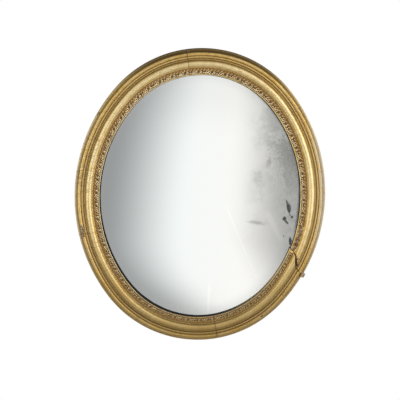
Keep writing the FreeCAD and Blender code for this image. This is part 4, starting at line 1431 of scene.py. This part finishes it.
def silvered(name, c):
    """Old silvering: a mirror with clouds, haze, foxing at its right edge with painted shade next to
    the frame, faint streaks and a painted back."""
    material, f = new_finish(name)
    place = f.place()
    x, _, z = f.parts(place)
    ragged = f.noise(place, 130, 4, 0.65) - 0.5
    wide = f.noise(place, 14, 5, 0.65)
    haze = f.rising(f.out_to(x, z, HAZE_OVAL), 0.80, 1.02)
    freckle = (f.rising(f.cells(place, 190), 0.16, 0.08)
               * f.rising(wide * 0.5 + haze * 0.4, 0.50, 0.66) * f.rising(x, 0.06, 0.2))
    # Foxing, and painted shade next to the frame along the right edge
    foxed_edge_and_shade = (f.rising(f.out_to(x, z, ROTTEN_OVAL) + ragged * 0.04, 0.935, 1.0)
              * f.rising(x, 0.10, 0.19) * f.rising(z, -0.11, -0.03))
    dark = f.most(freckle * 0.6, foxed_edge_and_shade * 0.75)
    for at_x, at_z, half_x, half_z, lean, depth in STAINS:
        cos, sin = math.cos(math.radians(lean)), math.sin(math.radians(lean))
        u = ((x - at_x) * cos + (z - at_z) * sin) / half_x
        v = ((z - at_z) * cos - (x - at_x) * sin) / half_z
        reach = (u * u + v * v) ** 0.5 + ragged * STAIN_RAGGED
        edge = 0.35 if depth > 0.5 else 1.0
        dark = f.most(dark, f.rising(reach, 1.0 + edge * 0.4, 1.0 - edge) * depth)
    pale = 0.0
    for from_x, from_z, to_x, to_z, half, depth in STREAKS:
        run = math.hypot(to_x - from_x, to_z - from_z)
        cos, sin = (to_x - from_x) / run, (to_z - from_z) / run
        ahead = (x - from_x) * cos + (z - from_z) * sin
        aside = ((z - from_z) * cos - (x - from_x) * sin + ragged * STREAK_RAGGED) / half
        streak = (f.rising(aside * aside, 2.5, 0.0)
                  * f.band(ahead, -0.01, 0.02, run - 0.02, run + 0.01) * depth)
        pale = f.most(streak, pale)
    cloud = (f.rising(x, 0.09, 0.21) * f.rising(z, -0.16, 0.03) * f.rising(wide, 0.42, 0.62)
             * 0.60)
    across, down = (x - BLOOM_AT[0]) / BLOOM_HALF[0], (z - BLOOM_AT[1]) / BLOOM_HALF[1]
    bloom = f.rising(across * across + down * down, 1.0, 0.0) * (1 - dark) * 0.20
    bloom = f.most(bloom, pale * f.rising(x, 0.12, 0.17) * 0.35)
    behind = f.rising(f.facing()[1], 0.3, 0.7)
    tint = f.blended(c.cool, c.warm, f.rising(x, -0.14, 0.14))
    shade = f.layered(tint, (c.cloud, cloud), (c.streak, pale), (c.haze, haze * 0.35),
                      (c.foxing, dark), (c.paint, behind))
    f.surface({"Base Color": shade,
               "Roughness": 0.02 + cloud * 0.22 + haze * 0.03 + dark * 0.35 + behind * 0.7,
               "Metallic": (1 - dark * 0.75) * (1 - bloom) * (1 - behind),
               "Specular IOR Level": 0.4})
    return material


def papered(name, c):
    """Matt black paper with a little dust."""
    material, f = new_finish(name)
    place = f.place()
    dust = f.rising(f.noise(place, 210, 4, 0.6), 0.52, 0.72)
    f.surface({"Base Color": f.blended(c.paper, c.paper_dust, dust),
               "Roughness": 0.62 + dust * 0.25, "Specular IOR Level": 0.3,
               "Normal": f.raised(f.noise(place, 900, 3), 0.0001, 0.5)})
    return material


# Timber: scale of its pattern along and across the grain, and the outline as squares of half axes
ALONG_GRAIN, ACROSS_GRAIN = 7.0, 60.0
OUTER_OVAL = (0.0930, 0.1289)


def timber(name, c, lengthways, tone=0.5, dusty=0.4, washed=None):
    """Aged softwood with its grain along one axis, and a toned outer rim if it is washed, paler at the
    oval's sides as painted light and darker where it looks up as painted shade.
    """
    material, f = new_finish(name)
    place = f.place()
    stretch = [ALONG_GRAIN if axis == lengthways else ACROSS_GRAIN for axis in range(3)]
    warp = f.noise(f.stretched(place, *[value / 12 for value in stretch]), 1.0, 3, 0.5)
    lines = f.add("TexWave", {"Vector": f.stretched(place, *stretch), "Scale": 1.1,
                              "Distortion": 5.0, "Detail": 4.0, "Detail Scale": 1.4,
                              "Detail Roughness": 0.6},
                  output="Fac", wave_type="BANDS", bands_direction="XYZ"[2 - lengthways])
    pores = f.noise(f.stretched(place, *[value * 16 for value in stretch]), 1.0, 4, 0.6)
    shade = f.blended(c.pine, c.pine_dark, lines * 0.42 + f.rising(pores, 0.5, 0.75) * 0.3
                      + f.rising(warp, 0.45, 0.7) * tone * 0.5)
    stain = f.rising(f.noise(place, 9, 4, 0.6), 0.54, 0.70)
    dust = f.rising(f.noise(place, 24, 5, 0.65), 0.44, 0.66)
    shade = f.layered(shade, (c.pine_dark, stain * 0.55), (c.dust, dust * dusty))
    if washed:
        x, _, z = f.parts(place)
        _, forwards, upwards = f.facing()
        rim = (f.rising(f.out_to(x, z, OUTER_OVAL), 0.93, 0.96)
               * f.rising(forwards * forwards, 0.4, 0.2))
        # Painted light at the oval's sides and painted shade where the rim looks up
        toning = f.layered(washed.ochre, (washed.ground, f.rising(x * x, *SIDES) * 0.75),
                           (washed.soot_and_shade, f.rising(upwards, 0.25, 0.85) * 0.85))
        shade = f.blended(shade, toning, rim * (f.rising(warp, 0.35, 0.5) * 0.3 + 0.7))
    f.surface({"Base Color": shade, "Roughness": 0.78 + dust * 0.15,
               "Normal": f.raised(lines * 0.5 + pores * 0.5, 0.0004, 0.6)})
    return material


def old_metal(name, bright, tarnish, rust, metallic):
    """Old metal: bright where it is handled, dull and spotted elsewhere."""
    material, f = new_finish(name)
    place = f.place()
    cover = f.rising(f.noise(place, 260, 5, 0.65), 0.40, 0.60)
    spots = f.rising(f.noise(place, 900, 4, 0.6), 0.56, 0.66)
    shade = f.blended(f.blended(bright, tarnish, cover), rust, spots * 0.7)
    f.surface({"Base Color": shade, "Roughness": 0.30 + cover * 0.25 + spots * 0.25,
               "Metallic": metallic * (1 - spots * 0.7),
               "Normal": f.raised(f.noise(place, 1400, 3), 0.0001, 0.5)})
    return material


def give(nodes, material):
    """Give nodes of the frame a finish."""
    for node in nodes:
        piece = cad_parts[node]
        piece.data.materials.clear()
        piece.data.materials.append(material)


class MIRROR_OT_back(Operator):
    """Finish the rails, planks, blocks and tongues of the back"""
    bl_idname = "mirror.back"
    bl_label = "Back Timber"

    def execute(self, context):
        c, wash = context.scene.mirror_timber, context.scene.mirror_gilding
        give(["back_rail_upper", "back_rail_lower"],
             timber("rail_wood_level", c, LEVEL, tone=0.6, dusty=0.25, washed=wash))
        give(["back_rail_left", "back_rail_right"],
             timber("rail_wood_upright", c, UPRIGHT, tone=0.6, dusty=0.25, washed=wash))
        give(["backboard_left", "backboard_middle", "backboard_right"],
             timber("board_wood", c, UPRIGHT, tone=0.9, dusty=0.5))
        give([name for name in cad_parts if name.startswith("plate_block")],
             timber("block_wood", c, UPRIGHT, tone=0.3, dusty=0.3))
        give([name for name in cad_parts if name.startswith("tongue")],
             timber("tongue_wood", c, LEVEL, tone=0.2, dusty=0.1))
        return {"FINISHED"}


# Old metals by node: name of the finish, bright metal, tarnish, rust, and how metallic it is
METALS = {
    "hanger_strap": ("strap_brass", (0.62, 0.44, 0.18), (0.27, 0.18, 0.08), (0.12, 0.10, 0.05), 0.95),
    "hanging_ring": ("ring_brass", (0.70, 0.52, 0.22), (0.36, 0.24, 0.10), (0.14, 0.11, 0.06), 1.0),
    "hanger_screws": ("hanger_screw_brass", (0.58, 0.42, 0.19), (0.30, 0.21, 0.10),
                      (0.12, 0.10, 0.06), 0.95),
    "rail_screws": ("screw_steel", (0.32, 0.29, 0.26), (0.13, 0.10, 0.08), (0.20, 0.08, 0.03), 0.9),
    "backboard_nails": ("nail_iron", (0.20, 0.17, 0.15), (0.10, 0.07, 0.05), (0.19, 0.075, 0.03),
                        0.8),
}


class MIRROR_OT_metalwork(Operator):
    """Finish the hanger, its ring, the screws and the nails"""
    bl_idname = "mirror.metalwork"
    bl_label = "Metalwork"

    def execute(self, context):
        for node, metal in METALS.items():
            give([node], old_metal(*metal))
        return {"FINISHED"}


# Studio

# Soft lamps that face the mirror's centre: place and size (metres), power (watts) and colour
LAMPS = {
    "right_key": ((1.8, -1.8, 0.45), 1.9, 26, (1.0, 0.985, 0.96)),
    "left_fill": ((-2.1, -1.7, 0.1), 2.2, 20, (0.98, 0.99, 1.0)),
    "back_fill": ((0.4, 2.6, -0.6), 1.8, 12, (1.0, 1.0, 1.0)),
}

# What gloss sees, in degrees of bearing and height: the middle of the band of light and its reach
BAND_BEARING, BAND_HEIGHT, BAND_REACH = 2.5, 0.65, 2.6
IN_DEGREES = 180 / math.pi


def soft_lamp(name, place, size, power, warmth):
    """A square soft lamp that faces the mirror's centre."""
    lamp = bpy.data.lights.new(name, "AREA")
    lamp.shape = "SQUARE"
    lamp.size = size
    lamp.energy = power
    lamp.color = warmth
    piece = bpy.data.objects.new(name, lamp)
    bpy.context.collection.objects.link(piece)
    piece.location = place
    piece.rotation_euler = (-Vector(place)).to_track_quat("-Z", "Y").to_euler()


def studio_light(world, s):
    """White to the camera. Gloss sees a tall soft white band ahead, grey beside it, and a pale room
    that dims overhead and fades out behind the mirror. Matt faces get a weak light."""
    world.use_nodes = True
    f = Finish(world.node_tree)
    x, y, z = f.parts(f.add("TexCoord", output="Generated"))
    bearing = (x.maths("ARCTAN2", x, y * -1) * IN_DEGREES
               + (BAND_BEARING + math.degrees(s.azimuth)))
    height = z.maths("ARCSINE", z) * IN_DEGREES
    level_off = f.most(height + (BAND_HEIGHT + math.degrees(s.elevation)), -BAND_REACH)
    level_off = f.least(level_off, BAND_REACH)

    bow = level_off * level_off * f.between(0.05, 0.58, f.rising(level_off, 0.1, -0.2))
    left_fall = f.rising(bearing - bow, 0.75, 2.29)
    right_fall = f.rising(bearing + f.least(level_off, 0.0) * 0.50, 4.33, 2.94)
    left_side = 0.34 + f.rising(bearing, -6.0, -35.0) * 0.22 - f.rising(bearing, -60.0, -110.0) * 0.2
    right_side = 0.29 + f.rising(bearing, 9.0, 30.0) * 0.62 - f.rising(bearing, 75.0, 125.0) * 0.3
    beside = f.between(left_side, right_side, f.rising(bearing, 1.0, 4.0))
    ahead = (1 - f.rising(level_off, 1.7, BAND_REACH) * 0.08
             - f.rising(level_off, -0.7, -1.4) * 0.25 * f.rising(bearing, 3.4, 1.4))
    near = f.between(beside, ahead, left_fall * right_fall)

    overhead = 1 - f.rising(height, 52.0, 88.0) * 0.80
    room = f.between(0.66, 0.90, f.rising(bearing, -70.0, 50.0)) * overhead
    room = f.between(room, 0.68, f.rising(height, -14.0, -40.0) * 0.85)
    away = f.most(f.rising(height, -4.5, 6.0), f.rising(height, -14.5, -25.0))
    away = f.most(away, f.most(f.rising(bearing, -4.0, -16.0), f.rising(bearing, 8.5, 20.0)))
    gloss = f.between(near, room, away) * f.rising(y, 0.35, -0.30)

    matt = 0.44 - f.rising(height, 5.0, 70.0) * 0.38 - f.rising(height, -10.0, -60.0) * 0.20
    camera, glossy, through = f.rays()
    strength = f.between(f.between(matt, gloss, f.most(glossy, through)), 1.0, camera)
    f.add("OutputWorld", {"Surface": f.add("Background", {"Color": (1, 1, 1, 1),
                                                          "Strength": strength})})


class MIRROR_OT_studio(Operator):
    """Set up the floor, the soft lights and the camera"""
    bl_idname = "mirror.studio"
    bl_label = "Studio"

    def execute(self, context):
        s = context.scene.mirror_studio
        bpy.ops.object.select_all(action="DESELECT")
        bpy.ops.mesh.primitive_circle_add(vertices=96, radius=s.floor_radius, fill_type="NGON")
        floor = context.active_object
        floor.name = "floor"
        put_points(floor, points_of(floor) + np.array([0, 0, -s.floor_drop]))
        material, f = new_finish("pale_floor")
        camera_ray, glossy, through = f.rays()
        seen = f.most(camera_ray, f.most(glossy, through))
        matt = f.add("BsdfDiffuse", {"Color": (0.82, 0.82, 0.82, 1)})
        glow = f.add("Emission", {"Color": (1, 1, 1, 1), "Strength": 1.0})
        f.add("OutputMaterial", {"Surface": f.add("MixShader", {0: seen * 0.2, 1: matt, 2: glow})})
        floor.data.materials.append(material)

        for name, lamp in LAMPS.items():
            soft_lamp(name, *lamp)
        context.scene.world = context.scene.world or bpy.data.worlds.new("studio")
        studio_light(context.scene.world, s)

        camera = bpy.data.objects.new("camera", bpy.data.cameras.new("camera"))
        context.collection.objects.link(camera)
        camera.data.lens = s.lens
        aim = Vector((s.aim_right, -s.aim_front, -s.aim_drop))
        camera.location = aim + s.distance * Vector((
            math.sin(s.azimuth) * math.cos(s.elevation),
            -math.cos(s.azimuth) * math.cos(s.elevation), math.sin(s.elevation)))
        look = (aim - camera.location).to_track_quat("-Z", "Y").to_matrix()
        camera.rotation_euler = (look @ Matrix.Rotation(s.roll, 3, "Z")).to_euler()
        context.scene.camera = camera
        context.scene.view_settings.view_transform = "Standard"
        return {"FINISHED"}


STEPS = (MIRROR_OT_moulding, MIRROR_OT_ornament, MIRROR_OT_binding, MIRROR_OT_plate,
         MIRROR_OT_back, MIRROR_OT_metalwork, MIRROR_OT_studio)


class MIRROR_PT_panel(Panel):
    """The steps that build the mirror"""
    bl_idname = "MIRROR_PT_panel"
    bl_label = "Oval Giltwood Mirror"
    bl_space_type = "VIEW_3D"
    bl_region_type = "UI"
    bl_category = "Mirror"

    def draw(self, context):
        for step in STEPS:
            self.layout.operator(step.bl_idname)


CLASSES = tuple(SETTINGS.values()) + STEPS + (MIRROR_PT_panel,)


def register():
    for item in CLASSES:
        bpy.utils.register_class(item)
    for name, group in SETTINGS.items():
        setattr(bpy.types.Scene, name, PointerProperty(type=group))


def unregister():
    for name in SETTINGS:
        delattr(bpy.types.Scene, name)
    for item in reversed(CLASSES):
        bpy.utils.unregister_class(item)


def main():
    """Register the add-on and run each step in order."""
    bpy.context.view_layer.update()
    register()
    for step in STEPS:
        group, name = step.bl_idname.split(".")
        getattr(getattr(bpy.ops, group), name)()


if __name__ == "__main__":
    main()
